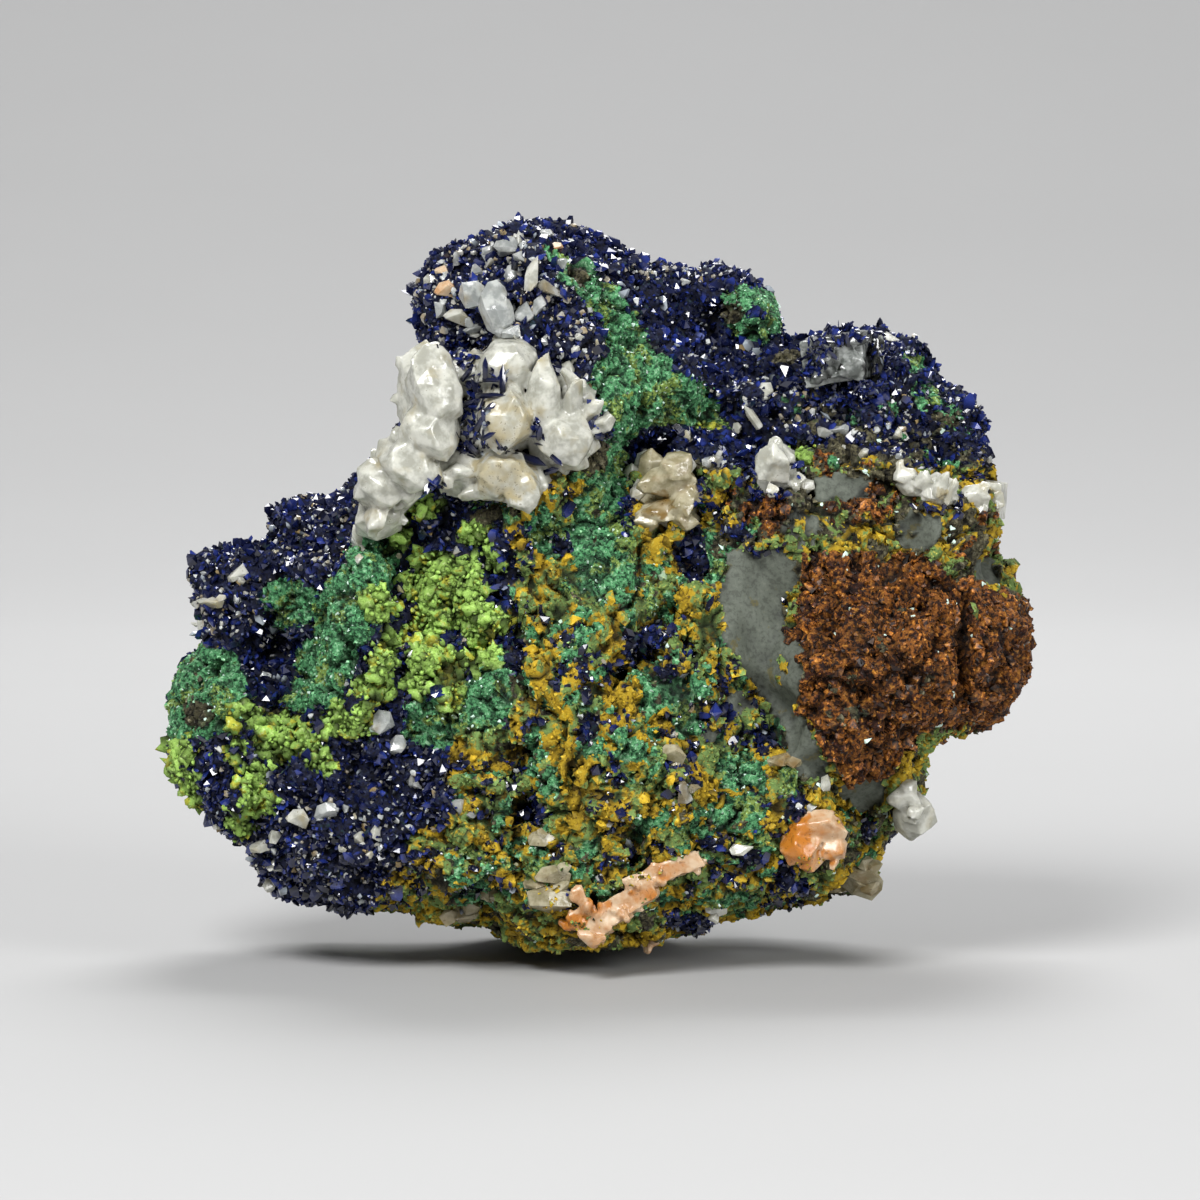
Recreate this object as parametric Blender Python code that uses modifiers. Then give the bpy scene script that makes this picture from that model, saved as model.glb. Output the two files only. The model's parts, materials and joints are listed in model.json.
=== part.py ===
"""An azurite specimen: blue azurite and green malachite crusts, quartz and calcite crystals on a broken rock.

The rock is one sculpted form. Crystals are seated in sockets cut into it, and the mineral crusts are peeled
off its skin along their outlines, so that every piece is a closed solid with a fine seam to its neighbours.
The frame: +X to the right and +Z up as the front is seen, the front faces -Y, and the origin is on the ground
under the middle of the specimen. Sizes in the tables are millimetres.
"""

import math
import random
from collections import namedtuple

import bmesh
import bpy
import numpy as np
from mathutils import Euler, Matrix, Vector, noise
from mathutils.bvhtree import BVHTree

MM = 0.001
WIDTH, HEIGHT = 90.0, 76.5
SEAM = 0.3  # gap between neighbouring pieces
VOXEL = 1.5  # mesh size that the rock is sculpted at
ROCK_TRIANGLES = 1400
CORE_TRIANGLES = 220
CRUST_THICKNESS = 3.0
FRONT_REACH = 60.0  # how far in front of the middle plane a crust's cutter starts

FRONT_DEPTH = 15.0  # from the rock's middle plane to its front, before the swells
BACK_DEPTH = 14.0
EDGE_SHARE = 0.34  # thickness left at the outline, as a share of the full one
EDGE_ROUND = 13.0  # distance from the outline at which the full thickness is reached
LEAN = 0.06  # how far the middle plane falls back for each millimetre of height
LEAN_FROM = 38.0
LEDGE_HEIGHT, LEDGE_RUN, LEDGE_STEP = 49.0, 4.5, 7.0
LEDGE_LEFT, LEDGE_BLEND = -2.0, 6.0

FACETS, FACET_SLOPE = 300, 0.27  # flat broken faces: how many fill the rock's box, and how steeply they tilt
CHIP_SIZE, CHIP_HEIGHT = 4.0, 0.7

# The rock's outline from the front, clockwise from the top. It runs below the ground, where the foot
# is cut flat.
OUTLINE = [
    (-7.5, 76.2), (-4.0, 75.8), (-1.5, 74.4), (1.0, 74.0), (3.0, 72.4), (5.0, 71.4), (8.0, 71.2),
    (11.0, 71.2), (14.0, 70.8), (16.5, 69.6), (18.0, 68.2), (18.8, 67.0), (18.0, 65.3), (18.3, 63.4),
    (20.0, 63.2), (22.5, 64.0), (25.0, 64.4), (27.5, 65.0), (29.5, 64.8), (31.5, 63.7), (34.0, 62.8),
    (34.6, 61.0), (35.0, 59.3), (37.0, 58.2), (39.0, 56.8), (40.0, 55.0), (40.2, 52.0), (40.6, 49.6),
    (41.6, 47.6), (41.2, 45.8), (42.0, 43.0), (42.6, 40.2), (43.6, 37.6), (44.8, 34.5), (45.0, 30.8),
    (43.8, 27.2), (42.0, 24.2), (38.5, 23.4), (35.5, 22.4), (33.8, 20.5), (33.6, 17.5), (33.2, 14.6),
    (31.5, 13.4), (30.0, 12.6), (29.0, 9.6), (27.5, 7.0), (24.0, 5.8), (20.0, 4.8), (16.0, 3.8),
    (12.0, 3.0), (9.0, 1.9), (6.8, 1.6), (6.4, -9.0), (-9.6, -9.0), (-10.0, 1.6), (-12.5, 3.2),
    (-16.5, 2.8), (-20.5, 4.2), (-24.0, 4.8), (-27.0, 4.6), (-30.0, 5.2), (-33.5, 6.2), (-35.4, 8.6),
    (-37.0, 11.4), (-40.0, 13.4), (-42.4, 16.0), (-44.4, 19.2), (-44.2, 22.4), (-45.0, 26.0),
    (-43.8, 29.0), (-42.0, 31.2), (-41.5, 35.0), (-42.6, 38.0), (-42.2, 40.6), (-40.4, 42.2),
    (-37.6, 42.2), (-36.6, 40.4), (-34.4, 40.2), (-33.2, 42.0), (-34.8, 44.8), (-33.4, 46.6),
    (-29.0, 47.2), (-26.2, 48.4), (-24.6, 50.4), (-22.2, 52.4), (-21.0, 55.0), (-19.8, 60.0),
    (-17.2, 63.4), (-18.8, 65.5), (-20.0, 67.7), (-18.8, 70.0), (-18.0, 71.8), (-15.5, 73.4),
    (-12.5, 74.4), (-10.0, 75.6),
]

Swell = namedtuple("Swell", "x z across up turn rise")
# Swells (and hollows, where rise is negative) of the front: centre, half-sizes, turn in degrees, height.
FRONT_SWELLS = [
    Swell(0.0, 22.0, 36, 28, 0, 6.0),  # broad belly of the front
    Swell(32.0, 31.0, 16, 15, 0, 6.0),  # limonite boss
    Swell(17.5, 31.0, 5.0, 16, 12, -3.4),  # bare grey ramp beside the boss
    Swell(-10.5, 55.0, 15, 13, 0, 6.5),  # seat of the white quartz
    Swell(-9.0, 69.5, 13, 10, 0, 3.5),  # peak
    Swell(5.5, 60.0, 10, 6, -35, 5.0),  # malachite saddle
    Swell(12.0, 65.5, 7.5, 6.5, -30, -6.5),  # dark hollow between the two tops
    Swell(16.5, 67.5, 4.5, 5.5, 0, 3.5),  # knob at the right of that hollow
    Swell(29.0, 57.0, 14, 9, -15, 3.0),  # shoulder
    Swell(-33.0, 31.5, 7.0, 8.5, 0, -8.5),  # left hollow
    Swell(-25.6, 35.0, 3.6, 11, 25, 3.6),  # rib beside it
    Swell(-41.0, 26.0, 7, 8, 0, 3.5),  # left lobe
    Swell(-20.9, 36.5, 2.4, 9, 15, -4.5),  # gully between rib and grapes
    Swell(-28.5, 13.5, 12, 10, 0, 2.5),  # lower left crust
    Swell(-31.0, 21.5, 6, 5, 0, 2.0),  # lip below the left hollow
    Swell(-35.0, 41.5, 4.5, 4.5, 0, -4.5),  # notch between the knobs
    Swell(-39.5, 39.0, 5.5, 5.5, 0, -3.0),  # thin knob at the far left
    Swell(28.5, 14.0, 8, 8, 0, -2.5),  # corner below the boss
    Swell(36.0, 21.5, 7, 4, 0, -3.0),  # undercut of the boss
]
BACK_SWELLS = [
    Swell(6.0, 27.0, 36, 28, 0, 7.5),
    Swell(-27.0, 24.0, 15, 14, 20, 3.5),
    Swell(30.0, 44.0, 13, 10, -25, 3.0),
    Swell(-3.0, 55.0, 12, 13, 0, 3.5),
    Swell(14.0, 60.0, 8, 7, 0, -3.5),
    Swell(-16.0, 40.0, 9, 7, 30, -3.0),
    Swell(18.0, 14.0, 12, 8, 0, 2.5),
    Swell(-39.5, 39.0, 5.5, 5.5, 0, -4.0),
    Swell(-35.0, 41.5, 4.5, 4.5, 0, -4.0),
]
# The foot behind the front's lower edge: centre and half-sizes.
FOOT_CENTRE, FOOT_SIZE = (-3.5, 3.5, 6.0), (15.0, 15.5, 10.0)

Crevice = namedtuple("Crevice", "x z across up turn depth")
CREVICES = [
    Crevice(3.4, 31.4, 3.9, 1.5, 36, 6.0),
    Crevice(7.6, 36.4, 1.6, 0.9, 30, 4.5),
    Crevice(8.9, 33.2, 0.8, 1.7, 0, 4.0),
    Crevice(-7.2, 15.6, 2.4, 1.5, 0, 5.0),
    Crevice(-9.0, 12.2, 0.9, 1.9, 15, 4.0),
    Crevice(3.0, 12.2, 1.9, 1.8, -35, 5.0),
    Crevice(-8.8, 20.8, 2.6, 1.2, 25, 4.0),
    Crevice(-2.9, 18.9, 0.6, 2.2, 0, 3.5),
    Crevice(28.3, 61.8, 0.9, 3.0, 8, 4.5),
    Crevice(-4.2, 60.6, 1.2, 2.2, 25, 4.0),
]

# What the pieces are made of: colour, roughness and metallic value.
MINERALS = {
    "rock": ((0.24, 0.26, 0.25), 0.75, 0.0),
    "limonite": ((0.28, 0.10, 0.03), 0.85, 0.0),
    "ochre": ((0.45, 0.33, 0.05), 0.80, 0.0),
    "azurite": ((0.015, 0.02, 0.16), 0.25, 0.0),
    "malachite": ((0.05, 0.28, 0.13), 0.60, 0.0),
    "grapes": ((0.30, 0.42, 0.09), 0.65, 0.0),
    "quartz": ((0.80, 0.79, 0.74), 0.20, 0.0),
    "smoky": ((0.30, 0.30, 0.27), 0.15, 0.0),
    "calcite": ((0.72, 0.45, 0.28), 0.35, 0.0),
}

Crust = namedtuple("Crust", "name mineral back_y blades outline")
# Crusts peeled off the rock's skin, in this order: how far back each one wraps, how many large crystals stand
# on it, and its outline from the front.
CRUSTS = [
    Crust("malachite_saddle", "malachite", 2.0, 0, [
        (-5.2, 73.0), (-1.6, 73.4), (1.4, 70.6), (2.6, 67.0), (8.4, 62.2), (14.2, 58.0), (15.2, 55.2),
        (5.0, 55.4), (-0.2, 56.6), (-1.2, 60.4), (1.4, 63.8)]),
    Crust("azurite_crown", "azurite", 60.0, 22, [
        (-26.0, 63.6), (-26.0, 82.0), (50.0, 82.0), (50.0, 49.0), (37.0, 49.4), (22.0, 52.0),
        (15.0, 57.0), (4.0, 56.6), (-4.6, 58.4), (-8.6, 63.6), (-13.0, 63.4)]),
    Crust("malachite_rib", "malachite", 0.0, 0, [
        (-21.2, 42.6), (-25.3, 41.5), (-29.0, 33.2), (-30.5, 26.2), (-27.7, 26.6), (-24.3, 34.4),
        (-20.9, 38.9)]),
    Crust("azurite_knobs", "azurite", 12.0, 7, [
        (-50.0, 46.0), (-37.0, 52.0), (-24.2, 54.5), (-22.4, 45.9), (-27.0, 37.8), (-36.0, 39.0),
        (-39.0, 32.4), (-50.0, 32.8)]),
    Crust("azurite_hollow", "azurite", 0.0, 5, [
        (-38.4, 41.4), (-27.2, 40.4), (-28.4, 33.0), (-29.6, 25.4), (-32.0, 24.6), (-38.4, 25.8)]),
    Crust("azurite_flank", "azurite", 6.0, 7, [
        (-35.4, 18.2), (-26.4, 20.8), (-17.0, 20.4), (-15.6, 15.2), (-25.2, 9.0), (-25.6, 1.0),
        (-39.0, 1.0), (-38.8, 12.0)]),
    Crust("limonite_boss", "limonite", 4.0, 0, [
        (21.0, 42.4), (28.0, 41.2), (35.0, 41.4), (39.0, 39.0), (52.0, 38.0), (52.0, 21.2), (34.2, 21.2),
        (28.6, 19.0), (22.6, 21.4), (20.6, 25.0), (21.0, 30.0), (19.6, 34.2)]),
]

Grain = namedtuple("Grain", "shape x z wide deep tall turn lean out")


def chunk(x, z, wide, tall, turn=0.0, out=0.4, deep=None):
    """A broken crystal with uneven flat faces. out is how far its middle stands off the rock's skin."""
    return Grain("chunk", x, z, wide, deep or min(wide, tall) * 1.1, tall, turn, 0.0, out)


def prism(x, z, wide, tall, turn=0.0, lean=25.0, out=0.4):
    """A six-sided crystal that points up, turned clockwise from the front and leaning towards the viewer."""
    return Grain("prism", x, z, wide, wide * 0.9, tall, turn, lean, out)


def block(x, z, wide, tall, turn=0.0, out=0.4, deep=None):
    """A slanted block, as calcite cleaves."""
    return Grain("block", x, z, wide, deep or min(wide, tall), tall, turn, 0.0, out)


def ball(x, z, radius, out=0.5):
    """One grape of a grape-like cluster."""
    return Grain("ball", x, z, 2 * radius, 2 * radius, 2 * radius, 0.0, 0.0, out)


Cluster = namedtuple("Cluster", "name mineral grains")
CLUSTERS = [
    Cluster("quartz_cluster", "quartz", [
        chunk(-17.2, 57.4, 6.4, 12.4, -6, 2.4, 9), chunk(-19.6, 50.8, 7.0, 10.0, 45, 2.2, 8),
        chunk(-22.2, 46.8, 4.8, 6.6, 15, 1.2, 7), chunk(-11.2, 60.0, 9.4, 5.6, 5, 0.6, 7),
        chunk(-10.6, 55.4, 8.2, 7.8, 0, 1.0, 7), chunk(-13.6, 50.6, 8.2, 5.6, 8, 0.8, 7),
        chunk(-8.4, 50.2, 7.4, 5.4, -4, 0.9, 6), chunk(-5.0, 54.8, 5.4, 9.8, -8, 0.6, 6),
        prism(-2.5, 57.6, 3.9, 5.8, 15, 30, 0.6), chunk(-2.4, 53.8, 5.0, 4.2, 30, 0.8, 5)]),
    Cluster("quartz_peak_cluster", "quartz", [
        prism(-10.8, 67.0, 3.9, 6.2, 0, 20, 1.0), chunk(-13.8, 67.2, 4.6, 4.2, 20, 0.7),
        chunk(-8.6, 66.0, 3.4, 3.4, -15, 0.8)]),
    Cluster("smoky_crystal", "smoky", [block(24.0, 61.6, 6.4, 4.8, -8, 0.6, 5)]),
    Cluster("quartz_wedge", "quartz", [
        prism(17.6, 50.4, 4.6, 7.4, -4, 15, 0.8), chunk(20.2, 49.0, 3.0, 1.8, -15, 0.4)]),
    Cluster("quartz_plate", "quartz", [
        chunk(7.2, 48.4, 6.8, 6.0, 0, 0.6, 4), prism(4.9, 50.8, 2.8, 4.4, 5, 15, 0.6),
        chunk(6.8, 46.0, 6.0, 4.0, 5, 0.3, 4)]),
    Cluster("quartz_right_cluster", "quartz", [
        chunk(33.8, 48.6, 4.2, 4.2, 20, 0.6), chunk(31.2, 49.2, 3.2, 2.6, 0, 0.2)]),
    Cluster("quartz_right_block", "quartz", [block(38.9, 47.3, 4.4, 3.8, 6, 0.6)]),
    Cluster("quartz_corner", "quartz", [chunk(31.6, 15.6, 4.2, 4.8, 20, 0.5)]),
    Cluster("quartz_low_corner", "quartz", [chunk(26.4, 8.1, 5.0, 3.4, 20, 0.4)]),
    Cluster("quartz_low_centre", "quartz", [chunk(-5.2, 8.2, 4.8, 2.8, 0, 0.5)]),
    Cluster("calcite_block", "calcite", [
        block(22.6, 13.2, 4.6, 4.2, 16, 1.2), block(20.4, 11.5, 3.4, 4.2, -12, 0.9)]),
    Cluster("calcite_slabs", "calcite", [
        block(2.7, 7.9, 2.4, 6.2, 58, 0.6), block(-1.0, 5.6, 3.6, 2.6, 50, 0.5),
        block(6.2, 10.8, 1.8, 7.6, 68, 0.5)]),
    Cluster("grapes_main", "grapes", [
        ball(-17.4, 39.8, 2.3), ball(-15.4, 37.8, 2.3, 0.8), ball(-17.8, 35.2, 2.4),
        ball(-14.6, 35.0, 2.4, 0.8), ball(-12.6, 32.6, 2.0)]),
    Cluster("grapes_top", "grapes", [ball(-12.7, 43.2, 2.0), ball(-11.5, 41.0, 2.0)]),
    Cluster("grapes_low", "grapes", [
        ball(-32.8, 23.2, 2.0), ball(-30.7, 22.7, 2.1), ball(-31.8, 20.9, 2.0)]),
    Cluster("green_ball", "malachite", [ball(-6.2, 43.8, 2.1)]),
]

# Small crystals and grapes that are one with what they grow on.
GROWTHS = [
    prism(-7.2, 70.4, 1.5, 4.8, 8, 15, 0.7), chunk(-9.4, 73.4, 2.8, 2.6, 0, 0.4),
    block(-4.9, 68.8, 3.8, 2.4, 0, 0.2),
    prism(16.1, 55.8, 1.4, 3.4, -35, 20, 0.5), chunk(11.8, 50.6, 2.8, 2.6, 0, 0.4),
    block(-31.0, 14.2, 2.5, 2.5, 14, 0.7), prism(-28.2, 15.0, 2.3, 3.2, -10, 35, 0.5),
    chunk(-35.1, 11.3, 2.6, 2.6, 0, 0.5), chunk(-32.8, 9.1, 2.5, 2.3, 30, 0.5),
    chunk(-24.6, 12.3, 3.4, 2.2, 0, 0.4), chunk(-22.4, 23.9, 2.7, 3.1, 0, 0.7),
    chunk(-14.3, 15.4, 3.2, 2.4, 25, 0.4), chunk(-40.2, 36.5, 3.0, 1.9, 15, 0.4),
    chunk(-24.9, 43.5, 2.7, 2.8, 0, 0.6),
    chunk(6.8, 20.6, 3.6, 2.3, 15, 0.4), chunk(8.7, 16.7, 2.8, 3.0, 0, 0.4),
    ball(-20.9, 44.7, 1.4), ball(-17.3, 46.4, 1.4), ball(-22.4, 31.4, 1.6),
    ball(-23.4, 28.2, 1.7), ball(-18.7, 31.9, 1.4), ball(-18.5, 28.5, 1.7), ball(-16.0, 29.0, 1.5),
    ball(-26.2, 23.9, 1.9), ball(-36.6, 17.6, 1.9),
]

FLAT_ANGLE = 0.5  # in degrees, below which two faces count as one
BLADE_WIDTH, BLADE_LENGTH = (0.9, 1.6), (2.6, 4.6)
SLANT = 0.22  # of a cleaved block
HEXAGON = 2 / math.sqrt(3)  # a hexagon's width across its corners, for one unit across its sides
FOLLOW_SKIN = 0.25  # how far a cluster's crystals follow the skin's depth, and not the cluster's mean
TUMBLE = 50.0  # in degrees, how far a broken crystal may be rolled
JITTER = 0.12  # how far a broken crystal's corners wander, as a share of its size
SIGHT_START = -80.0  # in front of everything
EDGE_STEP, EDGE_STEPS = 0.4, 12  # how a crystal past the outline is moved in until it meets the skin


def clear_scene():
    """Removes every object."""
    for found in list(bpy.data.objects):
        bpy.data.objects.remove(found, do_unlink=True)


def collection(name):
    """A new collection in the scene."""
    made = bpy.data.collections.new(name)
    bpy.context.scene.collection.children.link(made)
    return made


def material(name, mineral):
    """The finish of one piece, a Principled BSDF."""
    colour, roughness, metallic = MINERALS[mineral]
    made = bpy.data.materials.new(name)
    made.use_nodes = True
    shader = made.node_tree.nodes["Principled BSDF"]
    shader.inputs["Base Color"].default_value = (*colour, 1.0)
    shader.inputs["Roughness"].default_value = roughness
    shader.inputs["Metallic"].default_value = metallic
    return made


def add_object(name, mesh, home):
    """An object with this mesh in the collection."""
    made = bpy.data.objects.new(name, mesh)
    home.objects.link(made)
    return made


def mesh_from(bm, name):
    """A mesh of what the bmesh holds, which is freed."""
    bmesh.ops.recalc_face_normals(bm, faces=bm.faces)
    mesh = bpy.data.meshes.new(name)
    bm.to_mesh(mesh)
    bm.free()
    return mesh


def apply_modifiers(target):
    """Makes the object's evaluated shape its own mesh."""
    bpy.context.view_layer.update()
    graph = bpy.context.evaluated_depsgraph_get()
    mesh = bpy.data.meshes.new_from_object(target.evaluated_get(graph))
    target.modifiers.clear()
    target.data = mesh


def combine(target, other, operation):
    """Boolean of two objects, applied to target. The many cuts one after another need the MANIFOLD solver."""
    boolean = target.modifiers.new(operation, "BOOLEAN")
    boolean.operation = operation
    boolean.object = other
    if operation == "UNION":
        boolean.use_self = True
    else:
        boolean.solver = "MANIFOLD"
    apply_modifiers(target)


def remesh(target, size):
    """Rebuilds the object as one even skin."""
    skin = target.modifiers.new("skin", "REMESH")
    skin.mode = "VOXEL"
    skin.voxel_size = size * MM
    apply_modifiers(target)


def thin_out(target, triangles):
    """Merges faces until about this many triangles are left."""
    now = sum(len(face.vertices) - 2 for face in target.data.polygons)
    fewer = target.modifiers.new("fewer", "DECIMATE")
    fewer.ratio = min(1.0, triangles / now)
    fewer.use_collapse_triangulate = True
    apply_modifiers(target)


def tidy_faces(target):
    """Joins faces that a cut has split within one plane."""
    bm = bmesh.new()
    bm.from_mesh(target.data)
    bmesh.ops.dissolve_limit(bm, angle_limit=math.radians(FLAT_ANGLE), verts=bm.verts, edges=bm.edges)
    bmesh.ops.triangulate(bm, faces=bm.faces)
    bm.to_mesh(target.data)
    bm.free()


def keep_largest(target):
    """Drops the loose crumbs that a cut can leave, and keeps the largest body."""
    bm = bmesh.new()
    bm.from_mesh(target.data)
    left, bodies = set(bm.verts), []
    while left:
        todo, body = [left.pop()], []
        while todo:
            vert = todo.pop()
            body.append(vert)
            near = {edge.other_vert(vert) for edge in vert.link_edges} & left
            left -= near
            todo += near
        bodies.append(body)
    bodies.sort(key=len)
    bmesh.ops.delete(bm, geom=[vert for body in bodies[:-1] for vert in body], context="VERTS")
    bm.to_mesh(target.data)
    bm.free()


def duplicate(source, name, home):
    """A copy of the object with its own mesh."""
    return add_object(name, source.data.copy(), home)


def signed_area(points):
    """Area of a closed outline, positive where it runs anticlockwise."""
    pairs = zip(points, points[1:] + points[:1])
    return sum(x0 * z1 - x1 * z0 for (x0, z0), (x1, z1) in pairs) / 2


def widened(points, by):
    """The outline moved outwards by a distance."""
    side = math.copysign(1.0, signed_area(points))
    moved = []
    for before, here, after in zip(points[-1:] + points[:-1], points, points[1:] + points[:1]):
        a = (Vector(here) - Vector(before)).normalized()
        b = (Vector(after) - Vector(here)).normalized()
        along = (a + b).normalized()
        outwards = Vector((along.y, -along.x)) * side
        moved.append(tuple(Vector(here) + outwards * by / max(0.5, along.dot(a))))
    return moved


def extruded(name, points, front_y, back_y, home):
    """A prism with this outline from the front, between two depths."""
    curve = bpy.data.curves.new(name, "CURVE")
    curve.dimensions = "2D"
    curve.fill_mode = "BOTH"
    curve.extrude = (back_y - front_y) / 2 * MM
    spline = curve.splines.new("POLY")
    spline.points.add(len(points) - 1)
    for point, (x, z) in zip(spline.points, points):
        point.co = (x * MM, z * MM, 0.0, 1.0)
    spline.use_cyclic_u = True
    guide = add_object(name, curve, home)
    bpy.context.view_layer.update()
    graph = bpy.context.evaluated_depsgraph_get()
    mesh = bpy.data.meshes.new_from_object(guide.evaluated_get(graph))
    bpy.data.objects.remove(guide)
    upright = Matrix.Rotation(math.pi / 2, 4, "X")
    mesh.transform(Matrix.Translation((0.0, (front_y + back_y) / 2 * MM, 0.0)) @ upright)
    bm = bmesh.new()
    bm.from_mesh(mesh)
    bmesh.ops.remove_doubles(bm, verts=bm.verts, dist=0.01 * MM)
    return add_object(name, mesh_from(bm, name), home)


def edge_distance(x, z):
    """Distance of each point from the rock's outline, in millimetres."""
    corners = np.array(OUTLINE)
    ends = np.roll(corners, -1, axis=0)
    nearest = np.full(len(x), np.inf)
    for (x0, z0), (x1, z1) in zip(corners, ends):
        run = np.array([x1 - x0, z1 - z0])
        t = np.clip(((x - x0) * run[0] + (z - z0) * run[1]) / (run @ run), 0.0, 1.0)
        nearest = np.minimum(nearest, np.hypot(x - x0 - t * run[0], z - z0 - t * run[1]))
    return nearest


def swelling(swells, x, z):
    """Summed height of the swells at each point, in millimetres."""
    total = np.zeros(len(x))
    for swell in swells:
        turn = math.radians(swell.turn)
        dx, dz = x - swell.x, z - swell.z
        u = (dx * math.cos(turn) - dz * math.sin(turn)) / swell.across
        v = (dx * math.sin(turn) + dz * math.cos(turn)) / swell.up
        total += swell.rise * np.clip(1.0 - u * u - v * v, 0.0, 1.0) ** 1.3
    return total


def smooth_step(t):
    """0 before 0, 1 after 1, and a smooth rise between."""
    t = np.clip(t, 0.0, 1.0)
    return t * t * (3.0 - 2.0 * t)


def depth_of(x, z, share):
    """Depth of a point of the rock, from its share of the thickness: -1 at the front and 1 at the back."""
    inset = np.minimum(edge_distance(x, z) / EDGE_ROUND, 1.0)
    fullness = EDGE_SHARE + (1.0 - EDGE_SHARE) * np.sqrt(1.0 - (1.0 - inset) ** 2)
    ledge = smooth_step((z - LEDGE_HEIGHT) / LEDGE_RUN) * smooth_step((x - LEDGE_LEFT) / LEDGE_BLEND)
    front = FRONT_DEPTH + swelling(FRONT_SWELLS, x, z) - LEDGE_STEP * ledge
    back = BACK_DEPTH + swelling(BACK_SWELLS, x, z)
    middle = LEAN * (z - LEAN_FROM)
    return middle + share * fullness * np.where(share < 0, front, back)


def positions(mesh):
    """The mesh's points as an array, in millimetres."""
    found = np.empty(len(mesh.vertices) * 3)
    mesh.vertices.foreach_get("co", found)
    return found.reshape(-1, 3) / MM


def set_positions(mesh, points):
    """Writes points in millimetres back to the mesh."""
    mesh.vertices.foreach_set("co", (points * MM).astype(np.float32).ravel())
    mesh.update()


def broken_faces(points):
    """Heights that give the skin flat, tilted faces, each around its own centre, in millimetres."""
    dice = np.random.default_rng(11)
    low, high = points.min(axis=0), points.max(axis=0)
    centres = dice.uniform(low, high, (FACETS, 3))
    tilts = dice.normal(size=(FACETS, 3))
    tilts *= FACET_SLOPE / np.linalg.norm(tilts, axis=1, keepdims=True)
    nearest = np.array([np.argmin(((centres - point) ** 2).sum(axis=1)) for point in points])
    return ((points - centres[nearest]) * tilts[nearest]).sum(axis=1)


def roughen(target):
    """Moves each point along its normal, for the rock's broken faces and chips."""
    points = positions(target.data)
    normals = np.empty(len(points) * 3)
    target.data.vertices.foreach_get("normal", normals)
    chips = [noise.noise(Vector(point) / CHIP_SIZE) for point in points]
    heights = broken_faces(points) + CHIP_HEIGHT * np.array(chips)
    set_positions(target.data, points + normals.reshape(-1, 3) * heights[:, None])


def smoothed(target, factor, repeat):
    """Relaxes the object's skin."""
    relax = target.modifiers.new("relax", "SMOOTH")
    relax.factor = factor
    relax.iterations = repeat
    apply_modifiers(target)


def sculpt_rock(helpers):
    """The whole rock as one fine skin, before anything is cut from it."""
    rock = extruded("rock_form", OUTLINE, -FRONT_DEPTH, FRONT_DEPTH, helpers)
    remesh(rock, VOXEL)
    points = positions(rock.data)
    share = np.clip(points[:, 1] / FRONT_DEPTH, -1.0, 1.0)
    points[:, 1] = depth_of(points[:, 0], points[:, 2], share)
    set_positions(rock.data, points)
    bm = bmesh.new()
    bm.from_mesh(rock.data)
    place = Matrix.LocRotScale(Vector(FOOT_CENTRE) * MM, None, Vector(FOOT_SIZE) * MM)
    bmesh.ops.create_icosphere(bm, subdivisions=3, radius=1.0, matrix=place)
    bm.to_mesh(rock.data)
    bm.free()
    remesh(rock, VOXEL)
    smoothed(rock, 0.5, 6)
    roughen(rock)
    smoothed(rock, 0.5, 2)
    points = positions(rock.data)
    low, high = points[:, 0].min(), points[:, 0].max()
    points[:, 0] = WIDTH * ((points[:, 0] - low) / (high - low) - 0.5)
    points[:, 2] *= HEIGHT / points[:, 2].max()
    set_positions(rock.data, points)
    return rock


def cut_flat(target):
    """Cuts the foot off level with the ground and closes it."""
    bm = bmesh.new()
    bm.from_mesh(target.data)
    everything = bm.verts[:] + bm.edges[:] + bm.faces[:]
    bmesh.ops.bisect_plane(bm, geom=everything, plane_co=(0, 0, 0), plane_no=(0, 0, 1), clear_inner=True)
    rim = [edge for edge in bm.edges if edge.is_boundary]
    bmesh.ops.contextual_create(bm, geom=rim)
    bmesh.ops.triangulate(bm, faces=bm.faces)
    bm.to_mesh(target.data)
    bm.free()


def sculpt_core(rock, helpers):
    """The rock under its crusts, and the same shape a seam smaller."""
    core = duplicate(rock, "core", helpers)
    inwards = core.modifiers.new("inwards", "DISPLACE")
    inwards.mid_level = 0.0
    inwards.strength = -CRUST_THICKNESS * MM
    apply_modifiers(core)
    remesh(core, VOXEL)
    keep_largest(core)
    smoothed(core, 0.5, 12)
    thin_out(core, CORE_TRIANGLES)
    smaller = duplicate(core, "smaller_core", helpers)
    inwards = smaller.modifiers.new("inwards", "DISPLACE")
    inwards.mid_level = 0.0
    inwards.strength = -1.4 * SEAM * MM
    apply_modifiers(smaller)
    return core, smaller


class Skin:
    """The rock's skin, for finding where a crystal stands."""

    def __init__(self, rock):
        self.tree = BVHTree.FromObject(rock, bpy.context.evaluated_depsgraph_get())

    def front(self, x, z):
        """Place and outward normal on the front skin at this point of the front view, in millimetres."""
        start = Vector((x, SIGHT_START, z)) * MM
        for _ in range(EDGE_STEPS):
            hit, normal, _, _ = self.tree.ray_cast(start, Vector((0, 1, 0)))
            if hit:
                return hit / MM, normal
            start.x -= math.copysign(EDGE_STEP * MM, x)
        raise ValueError(f"nothing stands at {x}, {z}")


def axis_turn(turn, lean):
    """Rotation that turns +Z clockwise from the front and leans it towards the viewer, in degrees."""
    return Euler((math.radians(lean), math.radians(turn), 0.0), "XYZ").to_matrix().to_4x4()


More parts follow.
